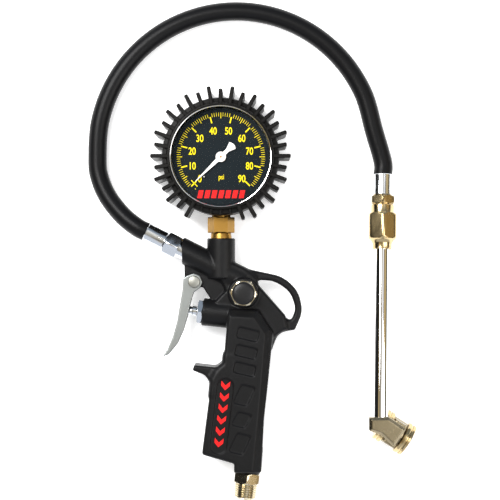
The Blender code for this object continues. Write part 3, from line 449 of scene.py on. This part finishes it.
HANDLE = filleted([
    (-4.4, -43.0, 2.0), (-2.0, -41.0, 2.0), (0.2, -16.0, 2.0), (1.6, -8.8, 2.0), (18.6, -9.6, 2.0),
    (27.4, -23.0, 3.0), (26.6, -32.0, 3.0), (24.6, -52.2, 0.0), (22.2, -73.8, 0.0), (20.5, -105.8, 1.0),
    (4.3, -105.8, 1.0), (4.3, -100.4, 1.5), (-14.8, -94.9, 2.0), (-10.7, -63.0, 0.0), (-9.2, -50.0, 3.0),
    (-7.0, -46.0, 0.0)])
REST = filleted([
    (-9.6, -52.0, 0.0), (-13.4, -47.8, 3.0), (-20.3, -45.0, 0.8), (-19.3, -41.9, 0.8), (-6.0, -43.4, 2.0),
    (-2.4, -41.0, 2.0), (-1.8, -36.0, 0.0), (4.0, -36.0, 0.0), (0.0, -60.0, 0.0), (-10.2, -60.0, 0.0)])
BODY = filleted([
    (-3.4, 9.0, 0.0), (-1.0, 2.0, 0.0), (-7.4, -4.6, 0.0), (2.0, -16.0, 0.0), (8.0, -24.0, 0.0),
    (27.0, -26.0, 0.0), (36.0, -20.0, 0.0), (34.6, -12.6, 0.0), (18.6, 5.2, 0.0), (17.8, 9.6, 0.0),
    (11.0, 15.4, 3.0), (3.0, 18.6, 2.0), (-8.0, 14.0, 0.0)])
LOOP = filleted([
    (3.1, 19.8, 0.0), (11.6, 15.2, 4.0), (33.5, 10.6, 60.0), (42.6, 2.2, 60.0), (45.6, -10.5, 40.0),
    (40.6, -21.4, 1.5), (31.0, -22.8, 6.0), (27.0, -32.6, 0.0), (16.0, -32.0, 0.0), (0.0, 0.0, 0.0)])
LOOP_HOLE = filleted([
    (17.4, 8.4, 1.2), (28.6, 8.0, 60.0), (38.2, 1.0, 60.0), (41.2, -9.0, 30.0), (38.6, -15.4, 3.0),
    (35.0, -14.6, 2.5), (18.6, 5.0, 1.2)])
LUG = filleted([
    (-25.4, 22.0, 0.0), (-25.4, 9.6, 1.0), (-23.6, 5.0, 2.0), (-19.6, 2.9, 3.0), (-14.4, 4.4, 2.0),
    (-12.4, 1.0, 1.0), (-9.0, -4.0, 0.0), (2.0, -5.0, 0.0), (2.0, 13.0, 0.0)])
BODY_STEP = 0.42


def leaning_box(centre, width, height, slant, turn):
    """Rounded parallelogram outline used for the pockets in the handle."""
    corners = []
    for sx, sy in ((-1, -1), (1, -1), (1, 1), (-1, 1)):
        x, y = sx * width / 2 + sy * slant, sy * height / 2
        corners.append((centre[0] + x * math.cos(turn) - y * math.sin(turn),
                        centre[1] + x * math.sin(turn) + y * math.cos(turn), 1.6))
    return filleted(corners, 4)


low_corner, high_corner = (-27.0, -109.0, -1.0), (47.5, 35.5, 28.5)
X, Y, Z = grid(low_corner, high_corner, BODY_STEP)
X2, Y2 = X[:, :, 0], Y[:, :, 0]


def flat_field(outline):
    return polygon_field(X2, Y2, outline)[:, :, None]


handle = extrude_field(flat_field(HANDLE), Z, *HANDLE_Z, 2.0)
half_thick = (HANDLE_Z[1] - HANDLE_Z[0]) / 2
for (ax, ay), (bx, by) in (((1.6, -8.8), (18.6, -9.6)), ((18.6, -9.6), (27.4, -23.0)),
                           ((27.3, -23.0), (26.6, -32.0)), ((26.6, -32.0), (24.6, -52.2)),
                           ((24.6, -52.2), (20.5, -105.8))):
    length = math.hypot(bx - ax, by - ay)
    edge = ((X - ax) * -(by - ay) + (Y - ay) * (bx - ax)) / length
    slope = (3.4 * (edge + 4.2) + 4.2 * (np.abs(Z - MID_Z) - half_thick)) / math.hypot(3.4, 4.2)
    handle = -soft_union(-handle, -slope, 0.4)
rest = extrude_field(flat_field(REST), Z, *REST_Z, 1.3)
handle = soft_union(handle, rest, 3.5)
body = extrude_field(flat_field(BODY), Z, *BODY_Z, 1.6)
loop = extrude_field(np.maximum(flat_field(LOOP), -flat_field(LOOP_HOLE)), Z, *LOOP_Z, 1.7)
lug = extrude_field(flat_field(LUG), Z, *LUG_Z, 0.8)
barrel = rod_field(X, Y, Z, flat_point(BARREL_END), barrel_in, 7.5, 44.0, 0.7)
boss = rod_field(X, Y, Z, (GAUGE_AT[0], 33.4, MID_Z), (0, -1, 0), 8.4, 24.0, 0.6)
valve_boss = rod_field(X, Y, Z, flat_point(VALVE_END), valve_in, 8.25, 26.0, 0.6)
neck = rod_field(X, Y, Z, flat_point(INLET_END), handle_up, 7.6, 16.0, 0.8)
seat = rod_field(X, Y, Z, (*DEFLATE_AT, 6.0), (0, 0, 1), 8.8, 16.6, 0.8)
solid = soft_union(body, loop, 2.5)
solid = soft_union(solid, barrel, 1.0)
solid = soft_union(solid, boss, 0.7)
solid = soft_union(solid, seat, 1.2)
solid = soft_union(solid, lug, 0.6)
solid = soft_union(solid, handle, 2.0)
solid = soft_union(solid, valve_boss, 0.7)
solid = soft_union(solid, neck, 1.5)

pockets = [leaning_box(c, 12.8, 6.6, 0.0, -LEAN * 2.2) for c in ((12.6, -23.6), (11.5, -34.0), (10.6, -44.2))]
pockets += [leaning_box(c, 8.6, height, 1.3, -LEAN * 2.2)
            for c, height in (((10.4, -59.6), 12.0), ((8.8, -74.2), 8.6), ((7.8, -88.4), 12.0))]
for outline in pockets:
    pocket = extrude_field(flat_field(outline), Z, HANDLE_Z[1] - 0.9, HANDLE_Z[1] + 4.0, 0.3)
    solid = soft_cut(solid, pocket, 0.5)
RECESS_TOP, RECESS_LOW = Vector((-0.8, -54.6, 0.0)), Vector((-4.9, -89.6, 0.0))
recess_dir = (RECESS_LOW - RECESS_TOP).normalized()
recess_along = np.clip((X2 - RECESS_TOP.x) * recess_dir.x + (Y2 - RECESS_TOP.y) * recess_dir.y, 0.0,
                       (RECESS_LOW - RECESS_TOP).length)
recess_flat = np.hypot(X2 - RECESS_TOP.x - recess_along * recess_dir.x,
                       Y2 - RECESS_TOP.y - recess_along * recess_dir.y) - 4.9
recess = extrude_field(recess_flat[:, :, None], Z, HANDLE_Z[1] - 0.8, HANDLE_Z[1] + 4.0, 0.3)
solid = soft_cut(solid, recess, 0.5)
gauge_bore = rod_field(X, Y, Z, (GAUGE_AT[0], 36.0, MID_Z), (0, -1, 0), 6.65, 11.0, 0.1)
barrel_bore = rod_field(X, Y, Z, Vector(flat_point(BARREL_END)) - barrel_in * 3.0, barrel_in, 5.2, 10.0, 0.1)
valve_bore = rod_field(X, Y, Z, Vector(flat_point(VALVE_END)) - valve_in * 3.0, valve_in, 5.6, 22.0, 0.1)
inlet_bore = rod_field(X, Y, Z, Vector(flat_point(INLET_END)) - handle_up * 3.0, handle_up, 6.3, 15.0, 0.1)
release_bore = rod_field(X, Y, Z, (*DEFLATE_AT, 8.0), (0, 0, 1), 5.4, 18.0, 0.1)
pin_bore = rod_field(X, Y, Z, (*PIVOT, 5.0), (0, 0, 1), 1.6, 18.0, 0.05)
for bore in (gauge_bore, barrel_bore, valve_bore, inlet_bore, release_bore, pin_bore):
    solid = np.maximum(solid, -bore)
gun = net_mesh("gun_casting", solid, low_corner, BODY_STEP)
place(gun, COAT, "gun", "body_coat", "gun_body")

marks = []
mark_across = Vector((-recess_dir.y, recess_dir.x, 0.0))
for i in range(6):
    centre = RECESS_TOP + recess_dir * (0.8 + i * 6.8)
    shape = [(-2.6, 1.4), (0.0, -1.2), (2.6, 1.4), (2.6, 4.2), (0.0, 1.6), (-2.6, 4.2)]
    ring = []
    for z in (HANDLE_Z[1] - 1.0, HANDLE_Z[1] - 0.45):
        ring.append([tuple(centre + mark_across * sx - recess_dir * sy + Vector((0, 0, z)))
                     for sx, sy in shape])
    marks.append(skin(ring, False))
place(merge("handle_marks", marks), RED, "gun", "body_coat")

# ---------------------------------------------------------------- trigger
LEVER = filleted([
    (-26.0, 9.6, 1.0), (-26.6, 2.0, 0.0), (-27.8, -4.7, 0.0), (-29.6, -15.7, 0.0), (-32.1, -24.9, 0.0),
    (-35.2, -32.3, 0.0), (-38.4, -37.3, 0.4), (-34.6, -35.9, 0.4), (-29.6, -29.8, 0.0), (-26.0, -21.8, 0.0),
    (-23.2, -12.0, 0.0), (-21.7, -4.7, 0.0), (-19.9, 0.8, 0.0), (-16.2, 3.6, 1.5), (-14.5, 7.2, 2.0),
    (-16.2, 11.2, 2.0), (-19.8, 12.5, 2.0), (-23.6, 11.2, 1.5)])
SLOT = [(-30.0, 20.0), (-30.0, 3.2), (-25.2, 2.6), (-26.3, -4.7), (-28.1, -15.7), (-30.5, -24.9),
        (-33.0, -31.2), (-29.0, -33.0), (-10.0, -33.0), (-10.0, 20.0)]
LEVER_STEP = 0.28
lever_low = (-39.6, -39.0, 7.0)
LX, LY, LZ = grid(lever_low, (-13.0, 14.0, 20.0), LEVER_STEP)
lever_flat = polygon_field(LX[:, :, 0], LY[:, :, 0], LEVER)[:, :, None]
slot_flat = polygon_field(LX[:, :, 0], LY[:, :, 0], SLOT)[:, :, None]
lever_field = extrude_field(lever_flat, LZ, *TRIGGER_Z, 0.6)
lever_slot = extrude_field(slot_flat, LZ, TRIGGER_Z[0] + 1.4, TRIGGER_Z[1] - 1.4, 0.3)
lever_field = soft_cut(lever_field, lever_slot, 0.3)
lever_field = np.maximum(lever_field, 1.55 - np.hypot(LX - PIVOT[0], LY - PIVOT[1]))
lever = net_mesh("trigger_casting", lever_field, lever_low, LEVER_STEP)
place(lever, CASTING, "trigger", "lever", "trigger")
pin_spot = Matrix.Translation((*PIVOT, 0.0))
place(turned("trigger_rivet", [(6.4, 1.2), (6.7, 1.5), (18.85, 1.5), (18.85, 3.55), (19.5, 3.55),
                               (19.9, 3.3), (20.1, 2.8), (20.15, 0.01)], pin_spot), RIVET, "gun",
      "pin_steel", "trigger_pin")

# ---------------------------------------------------------------- inlet and valve
place(turned("inlet_nipple", [(-11.0, 4.4), (-11.0, 6.1), (0.03, 6.1)] + hex_stations(0.03, 6.2, 7.3, 0.7)
             + [(6.2, 6.0), (6.9, 5.9)] + thread_stations(6.9, 15.0, 6.85, 6.6, 1.41, 0.65)
             + [(15.1, 6.0), (15.6, 5.6), (15.6, 4.4)], inlet_spot, closed=True), NICKEL, "gun", "nickel",
      "inlet_fitting")
place(turned("gland_head", [(-3.2, 3.2), (-3.2, 5.2)] + hex_stations(-3.0, -0.03, 6.7, 0.5)
             + [(-0.03, 5.45), (19.9, 5.45), (19.9, 2.4), (0.4, 2.4), (0.4, 3.2)], valve_spot, closed=True),
      ZINC, "gun", "zinc", "valve_gland_nut")
place(turned("push_stem", [(-12.2, 0.3), (-12.0, 1.0), (-11.5, 1.9), (-10.6, 2.5), (-6.2, 2.5), (-6.0, 2.9),
                           (-5.8, 3.1), (-3.7, 3.1), (-3.5, 2.9), (-3.5, 1.5), (19.9, 1.5), (19.9, 1.2),
                           (22.1, 1.2), (22.1, 2.4), (23.0, 2.4)], valve_spot), ZINC, "valve", "zinc",
      "valve_stem")

# ---------------------------------------------------------------- air release
place(turned("release_hex", [(14.2, 1.5), (14.2, 5.3), (22.63, 5.3)] + hex_stations(22.63, 26.0, 7.2, 0.8)
             + [(26.0, 4.5), (17.6, 4.5), (17.6, 1.5)], deflate_spot, closed=True), NICKEL, "gun", "nickel",
      "deflate_bushing")
place(turned("release_cap", [(20.6, 3.3), (20.6, 4.4), (28.7, 4.4), (28.7, 6.5), (28.9, 6.75), (29.2, 6.8),
                             (29.9, 6.72), (30.4, 6.4), (30.8, 5.6), (31.05, 4.2), (31.18, 2.4),
                             (31.2, 0.02), (29.2, 0.02), (29.2, 1.25), (27.0, 1.25), (27.0, 3.3)],
             deflate_spot, closed=True, crease=50.0), PLASTIC, "release_button", "button_plastic",
      "deflate_button")

# ---------------------------------------------------------------- gauge
place(turned("gauge_stem", [(56.9, 0.5), (56.9, 6.2)]
             + thread_stations(57.0, 45.2, 6.4, 6.6, 1.41, 0.5)
             + [(44.8, 5.9), (44.6, 6.4)] + hex_stations(44.4, 36.0, 7.0, -0.5)
             + [(36.0, 5.6), (29.2, 5.6), (29.2, 0.5)], stem_spot @ Matrix.Rotation(math.pi / 6, 4, "Z"),
             closed=True), BRASS, "gun", "brass", "gauge_socket")
place(turned("bezel_ring", [(27.6, 30.5), (30.03, 30.5), (30.03, 31.4), (32.4, 31.4), (32.6, 31.2),
                            (32.6, 29.7), (32.5, 29.45), (32.2, 29.35), (27.6, 29.35)], gauge_spot,
             closed=True, sides=144), CHROME, "gun", "bezel_chrome", "gauge_bezel")
place(turned("lens_disc", [(29.4, 29.3), (31.4, 29.3)], gauge_spot, sides=144), GLASS, "gun", "lens",
      "gauge_lens")
dial_parts = turned("dial_plate", [(24.2, 28.9), (24.8, 28.9), (24.8, 3.2), (24.2, 3.2)], gauge_spot,
                    closed=True, sides=144)
place(dial_parts, DIAL, "gun", "dial_paint", "gauge_dial")

FIN_WIDTH = 2.3
boot_parts = []
ring_profile = [(0.0, 33.8), (0.9, 34.7), (30.6, 34.7), (32.2, 34.4), (33.0, 33.8), (33.3, 32.0),
                (34.0, 31.6), (35.2, 31.4), (35.8, 31.0), (35.9, 30.5), (35.6, 29.95), (32.8, 29.8),
                (32.7, 31.46), (2.6, 31.46)]
ring_sides = 144
rings = [[(*polar(r, 2 * math.pi * k / ring_sides, GAUGE_AT), z) for k in range(ring_sides)]
         for z, r in ring_profile]
boot_parts.append(skin(rings, False))


def fin(angle, reach, start, z_low, z_high, width=FIN_WIDTH):
    half = width / 2
    outline = [(start, -half), (reach - 0.7, -half), (reach - 0.15, -half * 0.75), (reach, 0.0),
               (reach - 0.15, half * 0.75), (reach - 0.7, half), (start, half)]
    inner = [(start, -half + 0.35), (reach - 1.0, -half + 0.35), (reach - 0.5, -half * 0.5),
             (reach - 0.4, 0.0), (reach - 0.5, half * 0.5), (reach - 1.0, half - 0.35), (start, half - 0.35)]
    stack = []
    for z, shape in ((z_low, inner), (z_low + 0.4, outline), (z_high - 0.4, outline), (z_high, inner)):
        ring = []
        for along, across in shape:
            x = along * math.cos(angle) - across * math.sin(angle) + GAUGE_AT[0]
            y = along * math.sin(angle) + across * math.cos(angle) + GAUGE_AT[1]
            ring.append((x, y, z))
        stack.append(ring)
    return skin(stack, False)


for step in range(36):
    angle = math.radians(250 + 10 * step)
    if step < 4:
        boot_parts.append(fin(angle, 34.6, 31.2, 22.0, 34.2, 1.6))
        continue
    reach = 41.3 if step % 2 else 39.5
    boot_parts.append(fin(angle, reach, 31.2, 1.0, 35.6))
boot = merge("boot_moulding", boot_parts)
place(boot, RUBBER, "gun", "boot_rubber", "gauge_boot")

scale_parts = []
DIAL_PRINT = (24.83, 0.12)    # height of the printed scale, and its thickness


def dial_bar(value, outer, inner, width):
    z, high = DIAL_PRINT
    angle = math.radians(225.0 - 3.0 * value)
    corners = []
    for along, across in ((inner, -width / 2), (outer, -width / 2), (outer, width / 2), (inner, width / 2)):
        corners.append((along * math.cos(angle) - across * math.sin(angle) + GAUGE_AT[0],
                        along * math.sin(angle) + across * math.cos(angle) + GAUGE_AT[1]))
    return skin([[(*c, z) for c in corners], [(*c, z + high) for c in corners]], False)


for value in range(0, 91):
    if value % 10 == 0:
        scale_parts.append(dial_bar(value, 24.4, 20.6, 0.8))
    elif value % 5 == 0:
        scale_parts.append(dial_bar(value, 26.2, 22.9, 0.4))
    else:
        scale_parts.append(dial_bar(value, 26.2, 24.0, 0.3))
for value, outer, inner in ((-2.2, 24.6, 24.0),):
    scale_parts.append(dial_bar(value, outer, inner, 0.4))
cross_at = polar(22.2, math.radians(225.0), GAUGE_AT)
for turn in (0.0, 90.0):
    angle = math.radians(45.0 + turn)
    corners = []
    for along, across in ((-2.6, -0.28), (2.6, -0.28), (2.6, 0.28), (-2.6, 0.28)):
        corners.append((cross_at[0] + along * math.cos(angle) - across * math.sin(angle),
                        cross_at[1] + along * math.sin(angle) + across * math.cos(angle)))
    scale_parts.append(skin([[(*c, 24.84) for c in corners], [(*c, 24.97) for c in corners]], False))
place(merge("dial_scale", scale_parts), YELLOW, "gun", "dial_paint")


def dial_word(text, centre, height, material, narrow=0.74, bold=0.018):
    curve = bpy.data.curves.new("word", "FONT")
    curve.body = text
    curve.align_x = "CENTER"
    curve.align_y = "CENTER"
    curve.offset = bold
    curve.extrude = 0.02
    curve.size = 1.0
    made = bpy.data.objects.new("word", curve)
    bpy.context.scene.collection.objects.link(made)
    graph = bpy.context.evaluated_depsgraph_get()
    mesh = bpy.data.meshes.new_from_object(made.evaluated_get(graph))
    bpy.data.objects.remove(made, do_unlink=True)
    scale = height / 0.7 * METRES_PER_MM
    spot = Vector((centre[0], centre[1], 24.9)) * METRES_PER_MM
    mesh.transform(Matrix.Translation(spot) @ Matrix.Diagonal((scale * narrow, scale, scale * 0.6, 1.0)))
    obj = bpy.data.objects.new("dial_" + text, mesh)
    bpy.context.scene.collection.objects.link(obj)
    return place(obj, material, "gun", "dial_paint")


for value in range(0, 91, 10):
    bearing = math.radians(225.0 - 3.0 * value)
    spot = (GAUGE_AT[0] + 17.6 * math.cos(bearing), GAUGE_AT[1] + 16.9 * math.sin(bearing) - 1.2)
    dial_word(str(value), spot, 4.2, YELLOW)
dial_word("psi", (GAUGE_AT[0] + 0.3, GAUGE_AT[1] - 12.0), 3.0, YELLOW, 0.72, 0.01)

badge = []
for i in range(7):
    x = GAUGE_AT[0] - 14.0 + i * 4.1
    y = GAUGE_AT[1] - 24.5
    corners = [(x, y), (x + 2.9, y), (x + 3.9, y + 4.7), (x + 1.0, y + 4.7)]
    badge.append(skin([[(*c, 24.83) for c in corners], [(*c, 24.95) for c in corners]], False))
place(merge("dial_badge", badge), RED, "gun", "dial_paint")

pointer_spot = Matrix.Translation((*GAUGE_AT, 0.0)) @ Matrix.Rotation(POINTER_REST, 4, "Z")
pointer_outline = ([(21.0, 0.12)] + arc(3.0, math.radians(22), math.radians(158), 14)
                   + [(-5.6, 1.1), (-9.6, 2.7), (-10.4, 1.4), (-10.7, 0.0), (-10.4, -1.4), (-9.6, -2.7),
                      (-5.6, -1.1)]
                   + arc(3.0, math.radians(202), math.radians(338), 14) + [(21.0, -0.12)])
pointer = add_mesh("pointer_arm", *skin([[(*p, z) for p in pointer_outline] for z in (25.75, 26.3)], False),
                   pointer_spot)
place(pointer, WHITE, "pointer_arbor", "pointer_paint", "pointer")

# ---------------------------------------------------------------- hose ends, extension and chuck


def ferrule(name, spot):
    stations = [(0.0, 5.3), (0.0, 5.7), (0.25, 5.9), (1.0, 5.9), (3.0, 5.78), (9.6, 5.78), (11.2, 5.9),
                (12.2, 5.9), (12.6, 5.6), (12.6, 4.0), (11.8, 4.0), (11.8, 5.28)]
    return turned(name, stations, spot, closed=True, crease=25.0)


place(ferrule("ferrule_gun_sleeve", gun_crimp_spot), ZINC, "gun", "zinc", "ferrule_gun")
ferrule_far = place(ferrule("ferrule_chuck_sleeve", wand_spot), ZINC, "gun", "zinc", "ferrule_chuck")
place(turned("gun_insert", [(2.0, 2.0), (2.0, 3.1), (12.7, 3.1), (12.7, 3.9), (13.0, 4.6)]
             + hex_stations(13.0, 21.7, 6.5, 0.8) + [(21.7, 5.1), (31.0, 5.1), (31.0, 2.0)], gun_crimp_spot,
             closed=True), ZINC, "gun", "zinc", "hose_insert_gun")
far_insert = place(turned("chuck_insert", [(2.0, 2.0), (2.0, 3.1), (12.7, 3.1), (12.7, 4.6)]
                          + hex_stations(13.1, 17.8, 6.7, 0.6) + [(17.8, 5.6), (18.3, 5.6)]
                          + thread_stations(18.6, 23.4, 6.2, 6.2, 1.41, 0.5)
                          + [(23.5, 6.1), (31.0, 6.1), (31.0, 2.0)], wand_spot, closed=True), CHAMPAGNE,
                   "gun", "nickel", "hose_insert_chuck")
coupling = place(turned("coupling_hex", [(18.5, 6.3), (18.5, 6.6), (18.8, 6.85), (23.2, 6.85), (23.6, 7.0)]
                        + hex_stations(23.6, 39.2, 8.0, 1.4)
                        + [(39.6, 7.2), (41.0, 6.2), (42.2, 5.75), (45.0, 5.7), (45.4, 5.4), (45.4, 4.47),
                           (37.0, 4.47), (37.0, 6.3)], wand_spot, closed=True), CHAMPAGNE, "gun", "nickel",
                 "extension_coupling")
tube = place(turned("chrome_tube", [(37.2, 2.9), (37.2, 4.4), (149.0, 4.4), (149.0, 2.9)], wand_spot,
                    closed=True, sides=96), CHROME, "gun", "tube_chrome", "extension_tube")

place(hose, HOSE_RUBBER, "gun", "hose_rubber", "hose")

for label, flip in (("front", 1.0), ("rear", -1.0)):
    spot = axis_frame(SPOOL_CENTRE, spool_dir * flip)
    place(turned("cap_" + label, [
        (4.9, 7.1), (4.9, 9.5), (5.2, 9.9), (5.5, 10.0), (6.9, 10.0), (7.2, 9.8), (7.3, 9.2), (8.0, 9.2),
        (8.1, 9.8), (8.4, 10.0), (9.5, 10.0), (9.8, 9.8), (9.9, 9.4), (9.9, 4.3), (9.3, 4.2), (9.3, 5.6),
        (8.05, 5.6), (8.05, 7.1)], spot, closed=True, crease=30.0), CHAMPAGNE, "gun", "nickel",
        "chuck_cap_" + label)

CHUCK_TOP = filleted([
    (84.2, -72.6, 0.8), (84.2, -80.4, 1.0), (91.0, -82.6, 0.0), (98.6, -90.0, 1.0), (106.2, -79.2, 1.0),
    (97.6, -73.4, 1.0), (95.6, -72.2, 0.8)])
CHUCK_STEP = 0.25
chuck_low = (83.0, -94.5, 1.0)
CX, CY, CZ = grid(chuck_low, (112.0, -71.0, 30.4), CHUCK_STEP)
top_block = extrude_field(polygon_field(CX[:, :, 0], CY[:, :, 0], CHUCK_TOP)[:, :, None], CZ, 20.9, 29.6,
                          0.25)
bevel = (polygon_field(CX[:, :, 0], CY[:, :, 0], CHUCK_TOP)[:, :, None] + 1.6 + CZ - 29.6) / math.sqrt(2.0)
top_block = np.maximum(top_block, bevel)
across = Vector((-spool_dir.y, spool_dir.x, 0.0))
saddle = []
for a, b in ((-4.1, -7.4), (2.9, -7.4), (2.9, 7.8), (-4.1, 7.8)):
    point = Vector(SPOOL_CENTRE) + spool_dir * a + across * b
    saddle.append((point.x, point.y))
saddle_block = extrude_field(polygon_field(CX[:, :, 0], CY[:, :, 0], saddle)[:, :, None], CZ, 3.4, 24.0, 0.3)
spool_neck = rod_field(CX, CY, CZ, Vector(SPOOL_CENTRE) - spool_dir * 4.6, spool_dir, 8.6, 9.2, 0.3)
spigot = rod_field(CX, CY, CZ, Vector(SPOOL_CENTRE) - spool_dir * 8.0, spool_dir, 7.0, 16.0, 0.2)
chuck_field = np.minimum(np.minimum(top_block, saddle_block), np.minimum(spool_neck, spigot))
spool_bore = rod_field(CX, CY, CZ, Vector(SPOOL_CENTRE) - spool_dir * 12.0, spool_dir, 3.4, 24.0, 0.1)
tube_bore = rod_field(CX, CY, CZ, Vector(WAND_START) + wand_dir * 130.0, wand_dir, 4.45, 19.1, 0.1)
chuck_field = np.maximum(np.maximum(chuck_field, -spool_bore), -tube_bore)
chuck = net_mesh("chuck_block", chuck_field, chuck_low, CHUCK_STEP)
chuck.data.set_sharp_from_angle(angle=math.radians(28.0))
place(chuck, BLOCK, "gun", "nickel", "chuck_body")

# ---------------------------------------------------------------- CAD pieces that show
SHOWN = {
    "pinion_arbor": BRASS, "pointer_stop_pin": STEEL, "trigger_pin_clip": STEEL, "gauge_case": STEEL,
    "valve_stem_o_ring": SEAL, "valve_disc": SEAL, "valve_spring": STEEL, "deflate_spindle": BRASS,
    "deflate_seal": SEAL, "deflate_spring": STEEL, "chuck_seal_front": SEAL, "chuck_seal_rear": SEAL,
    "chuck_poppet_front": BRASS, "chuck_poppet_rear": BRASS, "chuck_spring_front": STEEL,
    "chuck_spring_rear": STEEL,
}
replaced = {"gun_body", "trigger", "trigger_pin", "inlet_fitting", "valve_gland_nut", "valve_stem",
            "deflate_bushing", "deflate_button", "gauge_socket", "gauge_bezel", "gauge_lens", "gauge_dial",
            "gauge_boot", "pointer", "ferrule_gun", "ferrule_chuck", "hose_insert_gun", "hose_insert_chuck",
            "extension_coupling", "extension_tube", "hose", "chuck_cap_front", "chuck_cap_rear", "chuck_body"}
for name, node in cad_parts.items():
    if name in replaced:
        continue
    node.data.materials.clear()
    node.data.materials.append(SHOWN.get(name, BRASS))



def shorten(name):
    """Give the spring its own copy of its mesh; the spring is not shortened here."""
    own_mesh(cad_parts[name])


shorten("valve_spring")
shorten("deflate_spring")
shorten("chuck_spring_front")
shorten("chuck_spring_rear")

# ---------------------------------------------------------------- stage
FLOOR_SIDE = 6.0
FLOOR_GLOW = 0.4
bpy.ops.mesh.primitive_plane_add(size=FLOOR_SIDE, location=(0.0, 0.0, -0.0002))
floor = bpy.context.active_object
floor.name = "floor"
floor_paint = finish("floor_paint", (0.93, 0.93, 0.93), roughness=0.9, specular=0.0)
floor_paint.node_tree.nodes["Principled BSDF"].inputs["Emission Color"].default_value = (1.0, 1.0, 1.0, 1.0)
floor_paint.node_tree.nodes["Principled BSDF"].inputs["Emission Strength"].default_value = FLOOR_GLOW
floor.data.materials.append(floor_paint)

world = bpy.data.worlds.new("studio")
bpy.context.scene.world = world
bpy.context.scene.view_settings.view_transform = "Standard"
world.use_nodes = True
wn, wl = world.node_tree.nodes, world.node_tree.links
wn.clear()
out = wn.new("ShaderNodeOutputWorld")
plain = wn.new("ShaderNodeBackground")
plain.inputs["Color"].default_value = (1.0, 1.0, 1.0, 1.0)
plain.inputs["Strength"].default_value = 0.75
bands = wn.new("ShaderNodeBackground")
bands.inputs["Strength"].default_value = 0.8
lightpath = wn.new("ShaderNodeLightPath")
coord = wn.new("ShaderNodeTexCoord")
split = wn.new("ShaderNodeSeparateXYZ")
wl.new(coord.outputs["Generated"], split.inputs[0])
bearing = wn.new("ShaderNodeMath")
bearing.operation = "ARCTAN2"
wl.new(split.outputs["X"], bearing.inputs[0])
wl.new(split.outputs["Z"], bearing.inputs[1])
turn = wn.new("ShaderNodeMapRange")
turn.inputs["From Min"].default_value = -math.pi
turn.inputs["From Max"].default_value = math.pi
wl.new(bearing.outputs[0], turn.inputs["Value"])
ramp = wn.new("ShaderNodeValToRGB")
ramp.color_ramp.interpolation = "LINEAR"
BANDS = ((-180, (0.8, 0.8, 0.8)), (-96, (0.7, 0.7, 0.7)), (-90, (0.02, 0.02, 0.02)),
         (-44, (0.02, 0.02, 0.02)), (-38, (0.7, 0.52, 0.25)), (-24, (0.5, 0.38, 0.2)),
         (-18, (0.06, 0.06, 0.07)), (-12, (0.5, 0.45, 0.36)), (4, (0.66, 0.62, 0.52)), (12, (1.5, 1.5, 1.5)),
         (22, (1.3, 1.3, 1.3)), (30, (0.1, 0.1, 0.12)), (44, (0.8, 0.6, 0.28)), (66, (0.6, 0.44, 0.2)),
         (74, (0.06, 0.07, 0.08)), (105, (0.12, 0.12, 0.12)), (112, (0.6, 0.55, 0.45)),
         (180, (0.8, 0.8, 0.8)))
ramp.color_ramp.elements.remove(ramp.color_ramp.elements[0])
for i, (degrees, colour) in enumerate(BANDS):
    spot = (degrees + 180.0) / 360.0
    element = ramp.color_ramp.elements[0] if i == 0 else ramp.color_ramp.elements.new(spot)
    element.position = spot
    element.color = (*colour, 1.0)
wl.new(turn.outputs["Result"], ramp.inputs[0])
sideways = wn.new("ShaderNodeMapRange")
sideways.inputs["From Min"].default_value = -0.35
sideways.inputs["From Max"].default_value = -0.6
wl.new(split.outputs["Y"], sideways.inputs["Value"])
washed = wn.new("ShaderNodeMix")
washed.data_type = "RGBA"
washed.inputs[7].default_value = (0.9, 0.95, 1.05, 1.0)
wl.new(sideways.outputs["Result"], washed.inputs[0])
wl.new(ramp.outputs["Color"], washed.inputs[6])
upward = wn.new("ShaderNodeMapRange")
upward.inputs["From Min"].default_value = 0.3
upward.inputs["From Max"].default_value = 0.55
wl.new(split.outputs["Y"], upward.inputs["Value"])
shaded = wn.new("ShaderNodeMix")
shaded.data_type = "RGBA"
shaded.inputs[7].default_value = (0.3, 0.36, 0.44, 1.0)
wl.new(upward.outputs["Result"], shaded.inputs[0])
wl.new(washed.outputs[2], shaded.inputs[6])
wl.new(shaded.outputs[2], bands.inputs["Color"])
choose = wn.new("ShaderNodeMixShader")
wl.new(lightpath.outputs["Is Glossy Ray"], choose.inputs[0])
wl.new(plain.outputs[0], choose.inputs[1])
wl.new(bands.outputs[0], choose.inputs[2])
wl.new(choose.outputs[0], out.inputs["Surface"])


def area_light(name, at, aim, size, power):
    data = bpy.data.lights.new(name, "AREA")
    data.shape = "RECTANGLE"
    data.size, data.size_y = size
    data.energy = power
    obj = bpy.data.objects.new(name, data)
    obj.location = at
    obj.rotation_euler = (Vector(aim) - Vector(at)).to_track_quat("-Z", "Y").to_euler()
    bpy.context.scene.collection.objects.link(obj)
    return obj


area_light("key", (-0.35, 0.35, 0.75), (0.0, 0.03, 0.0), (0.35, 0.5), 9.0)
area_light("fill", (0.55, -0.1, 0.7), (0.0, 0.03, 0.0), (0.4, 0.6), 3.0)

CAMERA_HEIGHT = 0.93
PICTURE_SIDE = 0.300
camera_data = bpy.data.cameras.new("camera")
camera_data.sensor_width = 36.0
camera_data.sensor_height = 36.0
camera_data.lens = 36.0 * (CAMERA_HEIGHT - 0.0135) / PICTURE_SIDE
camera_data.clip_start = 0.01
camera = bpy.data.objects.new("camera", camera_data)
camera.location = (0.0138, 0.0264, CAMERA_HEIGHT)
camera.rotation_euler = (0.0, 0.0, 0.0)
bpy.context.scene.collection.objects.link(camera)
bpy.context.scene.camera = camera
